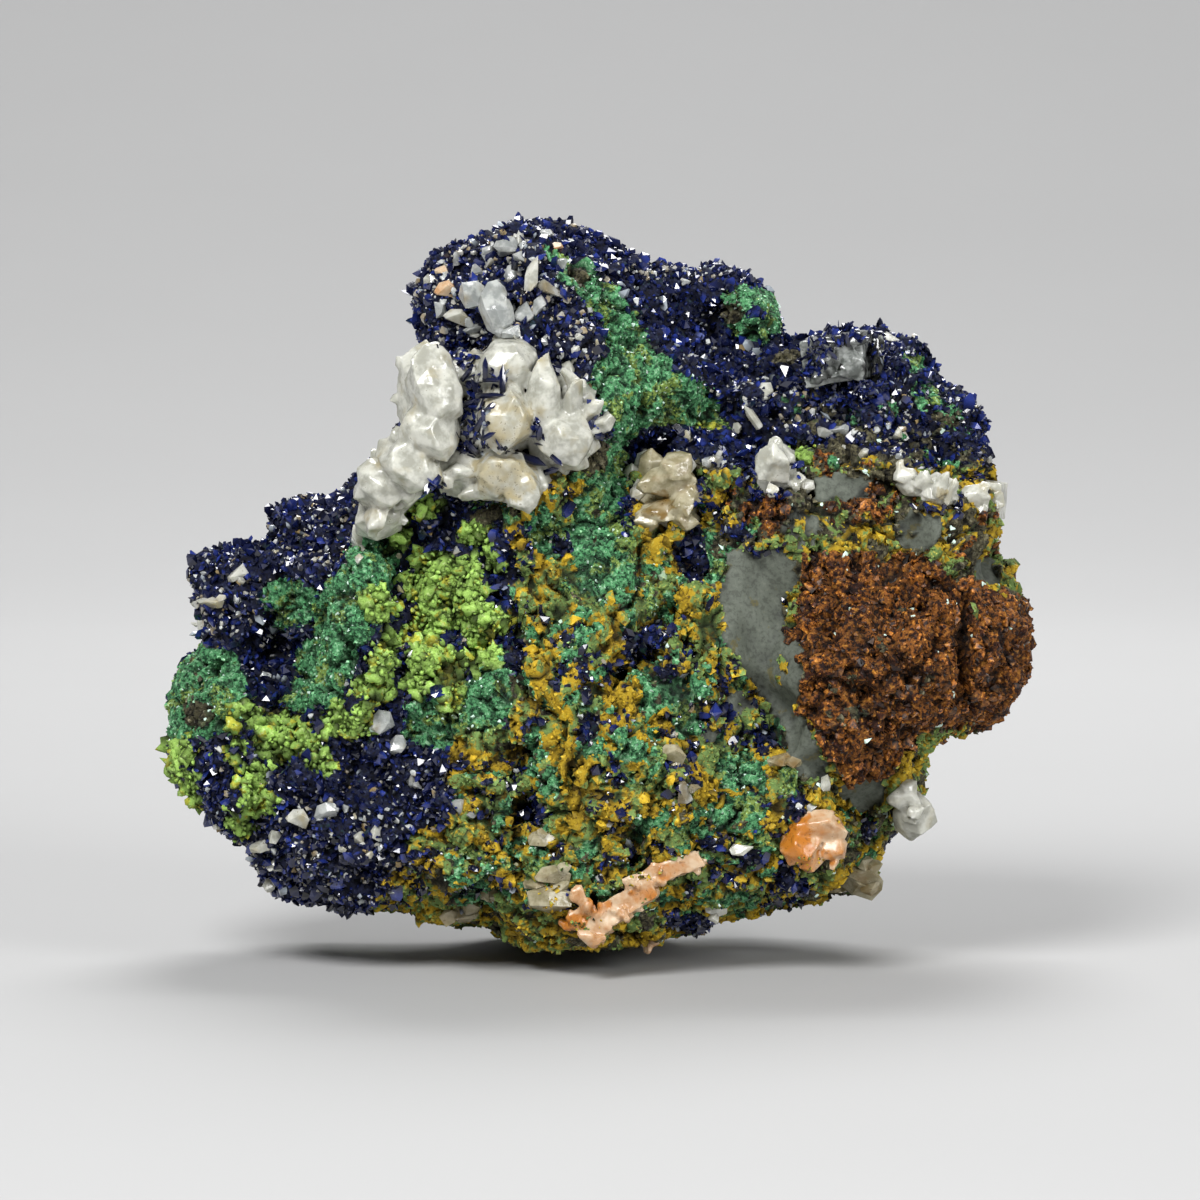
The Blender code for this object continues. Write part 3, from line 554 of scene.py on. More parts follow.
# The front's patches, from the ground layer up.
FRONT: tuple[Spot | Area, ...] = (
    Area(OCHRE, ((-48, -5), (48, -5), (48, 50), (-48, 50)), 0.62),
    Area(MALACHITE, ((-16, 3), (22, 3), (18, 50), (-16, 50)), 0.28),
    Area(AZURITE, ((-30, 3), (22, 3), (18, 50), (-30, 50)), 0.09),
    Area(AZURITE, ((-30, 60), (-26, 82), (50, 82), (50, 50.5), (37, 50.5), (29, 52), (20, 53), (16, 49.5), (9, 51),
                   (3, 49.5), (0, 54), (-14, 50), (-24, 47), (-24, 54))),
    Area(AZURITE, ((-50, 46), (-37, 52), (-24, 54), (-15, 49), (-14, 43.5), (-21.5, 41), (-25, 36), (-28.5, 25.5),
                   (-39, 25), (-39.5, 32), (-50, 33))),
    Area(AZURITE, ((-50, 22), (-39, 24), (-30, 25), (-25, 26), (-19.5, 40), (-17, 33), (-20, 27), (-16, 21),
                   (-15, 15), (-16, 11), (-22, 8), (-26, 1), (-50, 1))),
    Area(MALACHITE, ((-5.6, 72.6), (-4.4, 70.4), (-1.6, 66.6), (0.4, 63), (-1, 59.8), (-1.4, 57.4), (0.6, 55),
                     (0.6, 50.6), (-3, 46.6), (2.4, 46), (3, 53), (4.6, 55.2), (9.4, 54.8), (13.6, 54.2),
                     (12.8, 57.2), (8.4, 60.2), (5, 64.4), (3.4, 66.2), (1, 70.2), (-2, 72.4))),
    Area(MALACHITE, ((12.8, 69), (16, 70.8), (20, 67.6), (17.4, 62.6), (14.6, 64.4))),
    Area(AZURITE, ((-21, 47), (-25, 45), (-32, 30), (-32, 24), (-19, 24), (-18, 42))),
    Area(MALACHITE, ((-48, 33), (-41, 32.4), (-37.6, 30.6), (-36.8, 26), (-37.6, 22.6), (-48, 21.6))),
    *spots(ROCK, (-42, 24.8, 3, 2.8), (-42.6, 28.6, 2.4, 2.4, 0, 0.6)),
    Area(LIMONITE, ((20.5, 42), (23, 41.8), (26, 40.8), (30, 41.3), (33, 41.5), (36, 39.5), (38.5, 38.5), (41, 37.5),
                    (43.5, 36.8), (50, 36), (50, 24), (41, 23.8), (37.5, 23.8), (34, 22.3), (32, 20.3), (29, 18.8),
                    (26, 18.5), (24, 20), (22.3, 22.5), (21, 25), (20.8, 29), (21, 32), (19.3, 33.5), (20.5, 36))),
    Area(GREY, ((12, 36.5), (13.5, 41.5), (15, 42), (19.5, 41), (20.2, 38.5), (19, 36.5), (19.5, 33.5), (20.8, 32),
                (20.5, 25), (21.5, 22.5), (24, 19.8), (22.5, 18), (20.5, 18.5), (19.3, 23), (17.5, 26), (14.5, 29.5),
                (13, 33))),
    # upper edge and shoulder
    *spots(MALACHITE, (32.6, 61.4, 2.4, 3.4, -30), (34.2, 58, 2.6, 4.6, 20, 0.8), (36.4, 55.6, 3.4, 2.6, -30, 0.8),
           (30.4, 56.6, 2.4, 2, 0, 0.8), (34, 51.4, 3, 1.8, 0, 0.7)),
    Spot(GREY, 28.3, 61, 1.6, 4.6),
    *spots(ROCK, (20, 62.8, 2.6, 2), (14.2, 66.8, 2.2, 2.6)),
    Spot(AZURITE, 16.5, 67.2, 2.2, 1.8),
    *spots(ROCK, (24, 53, 3, 1.6, 0, 0.7), (-2, 70.8, 2, 1.6, -40)),
    *spots(GRAPES, (10.7, 54.3, 1.6, 1.4), (12.2, 54.6, 1.6, 1.2), (20.4, 51.6, 2.4, 1.6)),
    # olive and rusty band under the shoulder
    Area(ROCK, BAND),
    Area(OCHRE, BAND, 0.15),
    Area(LIMONITE, BAND, 0.28),
    *spots(LIMONITE, (27, 46.4, 5, 1.8, -12), (17, 45.6, 5, 3, 0, 0.6)),
    Spot(MALACHITE, 15, 44, 4, 3.6, 0, 0.4),
    *spots(GREY, (21, 44.2, 3.6, 3.6, 0, 0.9), (25, 48.2, 7, 2.4, 0, 0.9), (32.5, 43.6, 5.2, 3.4, -10, 0.9),
           (41, 39.4, 4.4, 2.4, -40), (27.4, 16.8, 4.8, 4.4), (11.5, 22.8, 2.6, 1.8), (14, 26, 3.2, 2.2)),
    *spots(OCHRE, (18.5, 29.2, 1.8, 3, 0, 0.8), (40.2, 43.6, 4, 4.4, 0, 0.4)),
    # centre
    *spots(MALACHITE, (0, 42, 7, 12, 0, 0.75), (3.6, 40, 3, 6, 0, 0.8), (-1, 31, 5, 6, 0, 0.45),
           (-12, 26.4, 8, 6, 0, 0.7), (-17, 24, 6.4, 5.4, 0, 0.8), (-12, 29, 4, 4, 0, 0.7), (-8, 10, 6, 4, 0, 0.5),
           (14.4, 18, 6.4, 6.4, 0, 0.75), (13.5, 14.5, 6.6, 3, 0, 0.6), (27, 12, 4.4, 5.4, 0, 0.7),
           (8, 26, 7, 7, 0, 0.4), (4, 21, 6, 5, 0, 0.4)),
    *spots(OCHRE, (-6.4, 38, 4.6, 3.6), (-3.6, 40, 3.6, 3.2, 0, 0.9), (-4, 36, 3.4, 2.8), (5, 43, 5.4, 3.4, 0, 0.9),
           (6.8, 38.4, 3, 2.2), (9.6, 36.6, 3.2, 2.8), (10.2, 33.6, 2.8, 4.6), (0.8, 32.4, 3.4, 3.2, 0, 0.9),
           (1.6, 35, 2.6, 2.2), (-4, 23, 3.6, 6), (-2, 18, 4, 5), (-3, 13.6, 4.6, 4.6), (-13, 21.6, 4.4, 3, 0, 0.9),
           (-18, 11.6, 5.4, 2.8), (-14, 12.8, 5.6, 2.8), (5, 16.4, 4.2, 4.2), (11.4, 18, 2.2, 5), (-17.4, 4, 5, 2.8),
           (-8.6, 26, 3.6, 3.6, 0, 0.9), (-6, 30, 3.4, 5, 0, 0.8)),
    *spots(AZURITE, (-10.5, 38.8, 4.4, 2.4), (-8.8, 30.5, 3.4, 3.2), (-4, 42.3, 2.2, 1.8), (-1.2, 23.5, 2.4, 3.2),
           (9.6, 41.4, 3.4, 5.4), (4.6, 32.4, 4.4, 2.6, 30), (-6.6, 15, 3.4, 2.4), (9.2, 2.2, 5, 2.4),
           (19.6, 7.2, 1.8, 4.6), (21.6, 5.8, 2.4, 2.2), (16.8, 22.2, 2.4, 2), (20.4, 15.4, 2.4, 2.4),
           (14.3, 43.6, 2.4, 1.4), (15.4, 9.8, 3.4, 2), (11.3, 11, 1.6, 1.4), (28, 12, 2, 3, 0, 0.5),
           (-10, 34, 2, 5, 10), (7, 28.8, 2.2, 2), (-15.4, 25.6, 2.2, 2.4), (-19.8, 30, 1.8, 8, 10)),
    # shoulder and rust
    Area(MALACHITE, ((19, 50), (19, 58), (29, 58), (38, 56), (38, 50)), 0.2),
    Area(ROCK, ((19, 50), (19, 60), (29, 58), (38, 56), (38, 50)), 0.16),
    *spots(OCHRE, (38.8, 36, 2.6, 3.2, 0, 0.5), (23.8, 39, 3.4, 2.6, 0, 0.3), (25.1, 45.4, 1.4, 1.2)),
    Spot(ROCK, 29, 29, 13, 15, 0, 0.1),
    # yellow-green grapes on dark ground
    Area(AZURITE, ((-22, 46), (-12, 47), (-8.6, 42), (-9, 36), (-12, 33), (-12.5, 29), (-17, 25), (-24, 24),
                   (-26, 28), (-22, 36))),
    Area(MALACHITE, ((-20.2, 44.6), (-24.6, 43.4), (-28, 38.4), (-30, 33), (-32.4, 25.6), (-27, 25.2), (-24, 32.6),
                     (-21.2, 38.4))),
    *spots(MALACHITE, (-17.4, 23.9, 6, 5.2), (-12.6, 26.2, 7.6, 6.6), (-10.8, 29.8, 3.6, 4, 0, 0.6)),
    *spots(GRAPES, (-12.7, 43.3, 3.8, 3.5), (-10.8, 40.5, 2.6, 2.8), (-16.2, 38.4, 7.6, 7.1), (-17, 34.8, 5.7, 4, 20),
           (-13.6, 35.6, 4.2, 5.4), (-10.8, 34.4, 4.2, 3.1), (-12.4, 31.6, 3.1, 4), (-15.6, 30.1, 4.5, 2.8),
           (-15.4, 27.8, 3.3, 3.8), (-18.2, 31.5, 2.6, 3.1), (-18.5, 28.4, 3.1, 3.8), (-22.1, 31.2, 3.1, 5.9, -40),
           (-23.1, 27.8, 4.5, 4), (-25.6, 24.1, 5.2, 4), (-22.3, 36, 3.5, 2.8), (-20.8, 44.2, 2.8, 4.2),
           (-17.6, 46.3, 3.5, 2.8), (-32, 22.2, 7, 5.2), (-28.6, 19.8, 3, 3.2), (-37, 24.2, 4.2, 2.8, 0, 0.9),
           (-38, 21.6, 4, 3, 0, 0.8), (-36.2, 18.4, 4, 3.4, 0, 0.8), (-35.5, 15.8, 5.2, 2.6, 0, 0.8),
           (-37.4, 13.4, 2.2, 3, 0, 0.8), (-43.4, 19.4, 3.6, 5.6, 0, 0.8), (-42, 16.4, 3.4, 2.6, 0, 0.8),
           (-23.4, 36.6, 2.4, 2.4)),
    *spots(MALACHITE, (-6.2, 43.8, 4, 4.4), (-32, 36.4, 6.6, 5.2), (-10, 46, 6, 2, 0, 0.5)),
    Spot(ROCK, -9.6, 45.4, 7, 2.2, 0, 0.6),
)

Back = tuple[Mineral, float, float, float]
# The back's minerals: how large the patches are, the noise above which they lie, and a seed.
BACK: tuple[Back, ...] = (
    (OCHRE, 14.0, 0.06, 3.0), (GREY, 18.0, 0.16, 11.0), (LIMONITE, 16.0, 0.20, 19.0), (MALACHITE, 9.0, 0.24, 27.0),
    (AZURITE, 11.0, 0.26, 35.0), (GRAPES, 7.0, 0.34, 43.0))


@dataclass(frozen=True)
class Dent:
    """A hollow of the front (or a swell, where depth is negative), as the front shows it."""

    x: float
    z: float
    across: float
    up: float
    turn: float
    depth: float


DENTS: tuple[Dent, ...] = tuple(Dent(*row) for row in (
    (2.6, 30.2, 4.6, 3, 30, 3), (6.4, 34.6, 6, 3, 38, 2.5), (8.9, 32.6, 1.8, 3.6, 0, 2.4),
    (-7.2, 15.4, 5.2, 3.4, 0, 3.4), (-8.8, 11.8, 2.2, 3.6, 15, 2.4), (3, 12.2, 4.2, 3.6, -35, 3),
    (-8.6, 20.8, 5.4, 2.6, 25, 2.6), (-2.9, 18.6, 1.4, 5, 0, 2), (-8.6, 34, 1.8, 6, 10, 2.2),
    (-19.8, 30, 2.2, 10, 8, 2.6), (-25, 30.6, 2.4, 8, 25, 2.2), (12, 64, 12, 9, -30, 2.5), (-33.4, 30.6, 9, 9, 0, 3),
    (-39, 29, 3.6, 3.4, 0, 1.6), (7, 51.8, 6, 1.8, 0, 2.4), (-11.2, 47, 9, 2.4, 0, 2.2),
    (-26.4, 34.6, 3.6, 17, -27, -1.8), (37.4, 31, 2.8, 15, -6, 2.6), (27.5, 27, 2.4, 5, 30, 1.8),
    (33, 35.5, 3.6, 2, 20, 1.6), (24.5, 34, 2, 3.6, -20, 1.4), (31, 23.5, 3.4, 1.8, -20, 1.4),
    (41, 29, 2.4, 2.4, 0, 1.4), (28.3, 61.2, 2, 5.6, 5, 2.6), (-11, 37.2, 2.8, 1.8, 0, 1.8),
    (12.6, 47.4, 2.4, 3, 0, 1.6), (-21.6, 16.8, 3, 4, 20, 1.4), (4, 25.8, 3.4, 1.6, 30, 1.6),
    (-0.6, 27.6, 3, 1.4, -20, 1.6), (9.8, 13.6, 3.2, 1.4, 10, 1.6), (-12.6, 16.8, 4, 2, -15, 1.8),
    (-1.4, 37.6, 2.2, 1.4, 0, 1.4), (14, 23, 4.6, 3.4, 50, 1), (-16.4, 37, 6, 8, 0, -1.2), (-32, 22, 6, 5, 0, -1),
    (-22.6, 29.4, 4, 6, 0, -0.8), (30, 33, 12, 10, 0, -1), (28, 23, 8, 5, 0, -0.8)))


def unit(rows: Points) -> Points:
    """The directions at length 1."""
    return rows / np.linalg.norm(rows, axis=1, keepdims=True)


@dataclass(frozen=True)
class Relief:
    """Knobs on the skin of some minerals: coarse and fine ones, each a height, a size and a seed, sunk by drop."""

    minerals: tuple[Mineral, ...]
    coarse: tuple[float, float, int]
    fine: tuple[float, float, int]
    drop: float = 0.0


RELIEFS: tuple[Relief, ...] = (
    Relief((OCHRE, ROCK, GRAPES), (0.85, 1.9, 23), (0.35, 0.95, 27), 0.3),
    Relief((LIMONITE,), (1.2, 2.6, 24), (0.8, 1.1, 25), 0.5),
    Relief((AZURITE,), (1.1, 3.0, 29), (0.5, 1.4, 30), 0.5),
    Relief((MALACHITE,), (0.4, 1.6, 26), (0.25, 0.8, 28)))


def slopes(count: int, dice: np.random.Generator) -> Points:
    """Directions on a ball, drawn at random."""
    return unit(dice.normal(size=(count, 3)))


SLOPES = slopes(1024, np.random.default_rng(5)) * 1.5
# Large numbers that give each cell of the noise's grid a slope of its own.
CELLS = (73856093, 19349663, 83492791)
MIXER = 1274126177


def cloud(points: Points, size: float, seed: float = 0.0) -> Points:
    """Smooth noise from about -0.7 to 0.7 at these points, with features of this size."""
    places = np.asarray(points) / size + seed * np.array((1.0, 1.7, 2.3))
    base = np.floor(places).astype(np.int64)
    part = places - base
    ease = part * part * (3.0 - 2.0 * part)
    total = np.zeros(len(places))
    for corner in np.ndindex(2, 2, 2):
        cell = base + corner
        mixed = cell[:, 0] * CELLS[0] ^ cell[:, 1] * CELLS[1] ^ cell[:, 2] * CELLS[2]
        mixed = (mixed ^ mixed >> 13) * MIXER
        rise = (SLOPES[(mixed ^ mixed >> 16) & len(SLOPES) - 1] * (part - corner)).sum(axis=1)
        total += rise * np.where(corner, ease, 1.0 - ease).prod(axis=1)
    return total


def ridges(points: Points, size: float, width: float, seed: float) -> Points:
    """1 along winding lines about this far apart, and 0 past their width."""
    return np.clip(1.0 - np.abs(cloud(points, size, seed)) / width, 0.0, 1.0)


def knobs(points: Points, size: float, seed: int) -> Points:
    """Rounded bumps from 0 between them to 1 on top, about this far apart."""
    dice = np.random.default_rng(seed)
    low, high = points.min(axis=0), points.max(axis=0)
    count = int(np.prod((high - low) / size) * 1.4)
    centres = dice.uniform(low, high, (count, 3))
    tree = kdtree.KDTree(count)
    for index, centre in enumerate(centres):
        tree.insert(centre, index)
    tree.balance()
    away = np.array([tree.find(point)[2] for point in points]) / (size * 0.62)
    return np.sqrt(np.clip(1.0 - away * away, 0.0, 1.0))


# --------------------------------------------------------------------------------------------- the rock


def modified(target: bpy.types.Object, *modifiers: tuple[str, dict]) -> bpy.types.Mesh:
    """A new mesh of the object as these modifiers make it, each a type and its settings."""
    for kind, settings in modifiers:
        modifier = target.modifiers.new(kind.lower(), kind)
        for key, setting in settings.items():
            setattr(modifier, key, setting)
    bpy.context.view_layer.update()
    graph = bpy.context.evaluated_depsgraph_get()
    made = bpy.data.meshes.new_from_object(target.evaluated_get(graph))
    target.modifiers.clear()
    return made


def remeshed(target: bpy.types.Object, voxel: float, relax: int) -> bpy.types.Mesh:
    """A new mesh of the object as one skin with faces of this size, smoothed this many times."""
    skin = {"mode": "VOXEL", "voxel_size": voxel * MM}
    return modified(target, ("REMESH", skin), ("SMOOTH", {"iterations": relax}))


def welded(mesh: bpy.types.Mesh) -> bmesh.types.BMesh:
    """The mesh as a bmesh with its seams closed."""
    bm = bmesh.new()
    bm.from_mesh(mesh)
    bmesh.ops.remove_doubles(bm, verts=bm.verts, dist=WELD * MM)
    bm.normal_update()
    return bm


def mesh_of(bm: bmesh.types.BMesh, name: str) -> bpy.types.Mesh:
    """A mesh of this bmesh, which is freed."""
    mesh = bpy.data.meshes.new(name)
    bm.to_mesh(mesh)
    bm.free()
    return mesh


def store(mesh: bpy.types.Mesh, name: str, values: Points) -> None:
    """Writes one number for each point of the mesh."""
    mesh.attributes.new(name, "FLOAT", "POINT").data.foreach_set("value", values.astype(np.float32))


def link(name: str, data: bpy.types.ID) -> bpy.types.Object:
    """An object of this mesh, lamp or camera in the scene."""
    made = bpy.data.objects.new(name, data)
    bpy.context.scene.collection.objects.link(made)
    return made


def outer_shell(mesh: bpy.types.Mesh) -> bpy.types.Mesh:
    """The mesh's largest connected part alone, in place of the mesh."""
    edges = array_of(mesh.edges, "vertices", 2).astype(int)
    label = np.arange(len(mesh.vertices))
    while True:
        low = label[edges].min(axis=1)
        lower = label.copy()
        np.minimum.at(lower, edges[:, 0], low)
        np.minimum.at(lower, edges[:, 1], low)
        lower = lower[lower]
        if (lower == label).all():
            break
        label = lower
    inner = label != np.bincount(label).argmax()
    bm = bmesh.new()
    bm.from_mesh(mesh)
    bmesh.ops.delete(bm, geom=[vert for vert in bm.verts if inner[vert.index]], context="VERTS")
    bm.to_mesh(mesh)
    bm.free()
    return mesh


def array_of(collection: object, key: str, width: int) -> Points:
    """A property of all of a mesh's elements."""
    found = np.empty(len(collection) * width)
    collection.foreach_get(key, found)
    return found.reshape(-1, width) if width > 1 else found


@dataclass
class Ground:
    """The whole rock as one fine skin that knows its minerals.

    inflate is how far the solids swell before they are joined, warp is how far a patch's edge wanders, crystals is
    how far the crystals on the skin reach past it, and deep is the depth of its cracks. The outline is fitted in
    sectors around the middle, from this many steps along each side. Unseen sides are azurite above crown and left
    of flank, which is a side and a top, and limonite in boss, which is a side, a foot and a top.
    """

    frame: dict
    view: View
    inflate: float = 0.22
    voxel: float = 0.36
    relax: int = 5
    most: int = 145000
    warp: float = 0.8
    middle: tuple[float, float] = (0.0, 36.0)
    crystals: float = 0.35
    sectors: int = 240
    steps: int = 40
    tries: int = 14
    pull: float = 0.012
    deep: float = 1.5
    crown: float = 52.0
    flank: tuple[float, float] = (-33.0, 46.0)
    boss: tuple[float, float, float] = (36.0, 18.0, 40.0)
    hosts: tuple[str, ...] = ("matrix_rock", "azurite_crown", "azurite_knobs", "azurite_hollow", "azurite_flank",
                              "malachite_saddle", "malachite_rib", "limonite_boss")
    piece: bpy.types.Object = field(init=False)
    points: Points = field(init=False)
    normals: Points = field(init=False)
    corners: Points = field(init=False)
    kinds: Points = field(init=False)
    cracks: Points = field(init=False)
    sunk: Points = field(init=False)
    tree: BVHTree = field(init=False)
    stands: dict[str, BVHTree] = field(default_factory=dict)

    def build(self) -> bpy.types.Object:
        """Makes the rock's skin, its relief and its minerals."""
        self.skin()
        self.read()
        self.kinds = self.minerals()
        self.shape()
        self.read()
        self.paint()
        self.piece.data.shade_smooth()
        self.piece.data.materials.append(RockFinish().build())
        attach(self.piece, "root")
        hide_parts("matrix_rock")
        return self.piece

    def skin(self) -> None:
        """Joins the solids that make up the rock's skin and meshes them finely."""
        whole = bmesh.new()
        for name in self.hosts:
            part = welded(self.frame["nodes"][name].data)
            for vert in part.verts:
                vert.co += vert.normal * self.inflate * MM
            mesh = mesh_of(part, "part")
            whole.from_mesh(mesh)
            bpy.data.meshes.remove(mesh)
        self.piece = link("rock_body", mesh_of(whole, "rock_body"))
        self.piece.data = outer_shell(remeshed(self.piece, self.voxel, self.relax))
        self.read()
        front = self.view.faced(self.normals, 2.0, 0.5)
        group = self.piece.vertex_groups.new(name="coarse")
        for share in range(10):
            chosen = np.flatnonzero((front * 9.99).astype(int) == share)
            group.add(chosen.tolist(), 1.0 - share * 0.095, "REPLACE")
        thin = {"ratio": min(1.0, self.most / len(self.corners)), "vertex_group": "coarse", "vertex_group_factor": 3.0}
        self.piece.data = modified(self.piece, ("DECIMATE", thin))
        self.piece.vertex_groups.clear()

    def read(self) -> None:
        """Reads the skin's points, normals and triangles."""
        mesh = self.piece.data
        mesh.update()
        self.points = array_of(mesh.vertices, "co", 3) / MM
        self.normals = array_of(mesh.vertices, "normal", 3)
        mesh.calc_loop_triangles()
        self.corners = array_of(mesh.loop_triangles, "vertices", 3).astype(int)

    def minerals(self) -> Points:
        """Which mineral each point is: from the patches on the front, and from noise elsewhere."""
        points = self.points
        x, z = self.view.flatten(points)
        x = x + self.warp * (cloud(points, 3.0, 1.0) + 0.5 * cloud(points, 1.2, 2.0))
        z = z + self.warp * (cloud(points, 3.0, 5.0) + 0.5 * cloud(points, 1.2, 6.0))
        mottle = 0.5 + 0.75 * cloud(points, 3.4, 9.0) + 0.4 * cloud(points, 1.3, 12.0)
        kinds = np.full(len(points), ROCK.value)
        for number, patch in enumerate(FRONT):
            shift = (number * 0.37) % 1.0 if patch.share < 1.0 else 0.0
            kinds[patch.covers(x, z) & ((mottle + shift) % 1.0 < patch.share)] = patch.mineral.value
        back = np.full(len(points), ROCK.value)
        for mineral, size, above, seed in BACK:
            back[cloud(points, size, seed) + 0.3 * cloud(points, size / 4, seed) > above] = mineral.value
        crown = self.crown - 0.10 * points[:, 0] + 9.0 * cloud(points, 9.0, 50.0) + 3.0 * cloud(points, 3.0, 51.0)
        back[points[:, 2] > crown] = AZURITE.value
        side, top = self.flank
        back[(points[:, 0] < side + 8.0 * cloud(points, 8.0, 55.0)) & (points[:, 2] < top)] = AZURITE.value
        side, foot, top = self.boss
        boss = (points[:, 0] > side + 6.0 * cloud(points, 8.0, 60.0)) & (points[:, 2] < top) & (points[:, 2] > foot)
        back[boss] = LIMONITE.value
        facing = self.normals @ self.view.axes[2] + 0.25 * cloud(points, 6.0, 70.0) - (points[:, 1] - 8.0) / 40.0
        return np.where(facing > 0.0, kinds, back)

    def is_kind(self, *minerals: Mineral) -> Points:
        """1 where the skin is one of these minerals, and 0 elsewhere."""
        return np.isin(self.kinds, [mineral.value for mineral in minerals]).astype(float)

    def shape(self) -> None:
        """Gives the skin its dents and each mineral's own relief."""
        points, normals = self.points.copy(), self.normals
        x, z = self.view.flatten(points)
        facing = self.view.faced(normals, 2.0, 0.0)
        pushed = np.zeros(len(points))
        for dent in DENTS:
            u, v = reach(dent, x, z)
            pushed += dent.depth * np.clip(1.0 - u - v, 0.0, 1.0)
        points -= self.view.axes[2] * (pushed * facing)[:, None]
        grey = self.is_kind(GREY)
        crust = 1.0 - grey - self.is_kind(AZURITE) * 0.6 - self.is_kind(LIMONITE) * 0.3
        self.cracks = crust * np.maximum(ridges(points, 4.6, 0.10, 61.0), ridges(points, 2.3, 0.07, 62.0) * 0.8)
        rise = 0.8 * cloud(points, 3.4, 21.0) * (1.0 - 0.7 * grey)
        rise += 0.35 * cloud(points, 1.2, 22.0) * (1.0 - 0.8 * grey)
        rise -= self.deep * self.cracks
        for relief in RELIEFS:
            (high, size, seed), (low, grain, other) = relief.coarse, relief.fine
            bumps = high * knobs(points, size, seed) + low * knobs(points, grain, other) - relief.drop
            rise += self.is_kind(*relief.minerals) * bumps
        points += normals * rise[:, None]
        points = self.fitted(points)
        points[:, 2] = np.maximum(points[:, 2], LOWEST)
        self.piece.data.vertices.foreach_set("co", (points * MM).ravel())

    def fitted(self, points: Points) -> Points:
        """The points moved in the picture plane so that the front's outline is the measured one."""
        x, z = self.view.flatten(points)
        u, v = x - self.middle[0], z - self.middle[1]
        away, turn = np.hypot(u, v), np.arctan2(v, u)
        bins = ((turn + math.pi) / (2 * math.pi) * self.sectors).astype(int) % self.sectors
        rim = np.zeros(self.sectors)
        np.maximum.at(rim, bins, away)
        wanted = np.zeros(self.sectors)
        for (x0, z0), (x1, z1) in zip(OUTLINE, OUTLINE[1:] + OUTLINE[:1]):
            for share in np.linspace(0.0, 1.0, self.steps):
                a, b = x0 + (x1 - x0) * share - self.middle[0], z0 + (z1 - z0) * share - self.middle[1]
                cell = int((math.atan2(b, a) + math.pi) / (2 * math.pi) * self.sectors) % self.sectors
                wanted[cell] = max(wanted[cell], math.hypot(a, b))
        ratio = (wanted - self.crystals) / rim
        ratio = (np.roll(ratio, 1) + ratio + np.roll(ratio, -1)) / 3
        place = (turn + math.pi) / (2 * math.pi) * self.sectors - 0.5
        low = np.floor(place).astype(int)
        near = ratio[low % self.sectors] * (low + 1 - place) + ratio[(low + 1) % self.sectors] * (place - low)
        share = np.clip(away / rim[bins], 0.0, 1.0) ** 5
        scale = 1.0 + (near - 1.0) * share
        moved = points.copy()
        moved[:, 0] += u * (scale - 1.0)
        moved[:, 2] += v * (scale - 1.0)
        return moved

    def paint(self) -> None:
        """Stores each mineral and the crevices on the mesh, for the finish, which paints shade into the crevices."""
        sunk = np.zeros(len(self.points))
        for turns, full in ((6, 0.16), (30, 0.5)):
            flat = modified(self.piece, ("SMOOTH", {"iterations": turns}))
            away = ((array_of(flat.vertices, "co", 3) / MM - self.points) * self.normals).sum(axis=1)
            bpy.data.meshes.remove(flat)
            sunk = np.maximum(sunk, np.clip(away / full, 0.0, 1.0))
        self.sunk = np.maximum(sunk, self.cracks)
        store(self.piece.data, "cavity", self.sunk)
        for mineral in Mineral:
            store(self.piece.data, mineral.name.lower(), self.is_kind(mineral))
        self.tree = BVHTree.FromPolygons((self.points * MM).tolist(), self.corners.tolist())

    def hit(self, x: float, z: float, trees: Sequence[BVHTree] = ()) -> Points:
        """The place of the skin where the front shows this point. Past its edge, the nearest is taken."""
        for step in range(self.tries):
            start, line = self.view.ray(x * (1.0 - self.pull * step), z + (self.middle[1] - z) * self.pull * step)
            found = [tree.ray_cast(Vector(start) * MM, Vector(line)) for tree in trees or (self.tree,)]
            near = [(away, place) for place, _, _, away in found if place]
            if near:
                return np.array(min(near, key=lambda pair: pair[0])[1]) / MM
        raise ValueError(f"the rock doesn't reach {x}, {z}")

    def scatter(self, mask: Points, tier: "Tier", seed: int) -> tuple[Points, Points, Points]:
        """Random places on the skin.

        Args:
            mask: the share of the density at each point of the mesh.
            tier: the grains' density and spacing.
            seed: of the random draw.

        Returns:
            The places, their normals and how open each lies, from 0 in a crevice to 1.
        """
        skin = self.points, self.normals, self.corners
        places, normals, faces = sample(*skin, mask, tier.density, tier.spacing, seed)
        return places, normals, 1.0 - self.sunk[self.corners[faces]].mean(axis=1)


def sample(points: Points, normals: Points, corners: Points, mask: Points, density: float, spacing: float,
           seed: int) -> tuple[Points, Points, Points]:
    """Random places on triangles.

    Args:
        points: the corners' places.
        normals: of the surface at each point.
        corners: three point numbers for each triangle.
        mask: the share of the density at each point.
        density: places in a square millimetre where the mask is 1.
        spacing: least distance between two places.
        seed: of the random draw.

    Returns:
        The places, their normals and the number of the triangle that each lies on.
    """
    dice = np.random.default_rng(seed)
    a, b, c = (points[corners[:, i]] for i in range(3))
    areas = np.linalg.norm(np.cross(b - a, c - a), axis=1) / 2
    weights = areas * mask[corners].mean(axis=1)
    total = weights.sum()
    count = int(total * density)
    chosen = dice.choice(len(areas), count, p=weights / total) if count else np.empty(0, int)
    u, v = dice.random(count), dice.random(count)
    over = u + v > 1
    u[over], v[over] = 1 - u[over], 1 - v[over]
    places = a[chosen] + (b - a)[chosen] * u[:, None] + (c - a)[chosen] * v[:, None]
    kept = spaced(places, spacing)
    return places[kept], unit(normals[corners[chosen[kept]]].mean(axis=1)), chosen[kept]


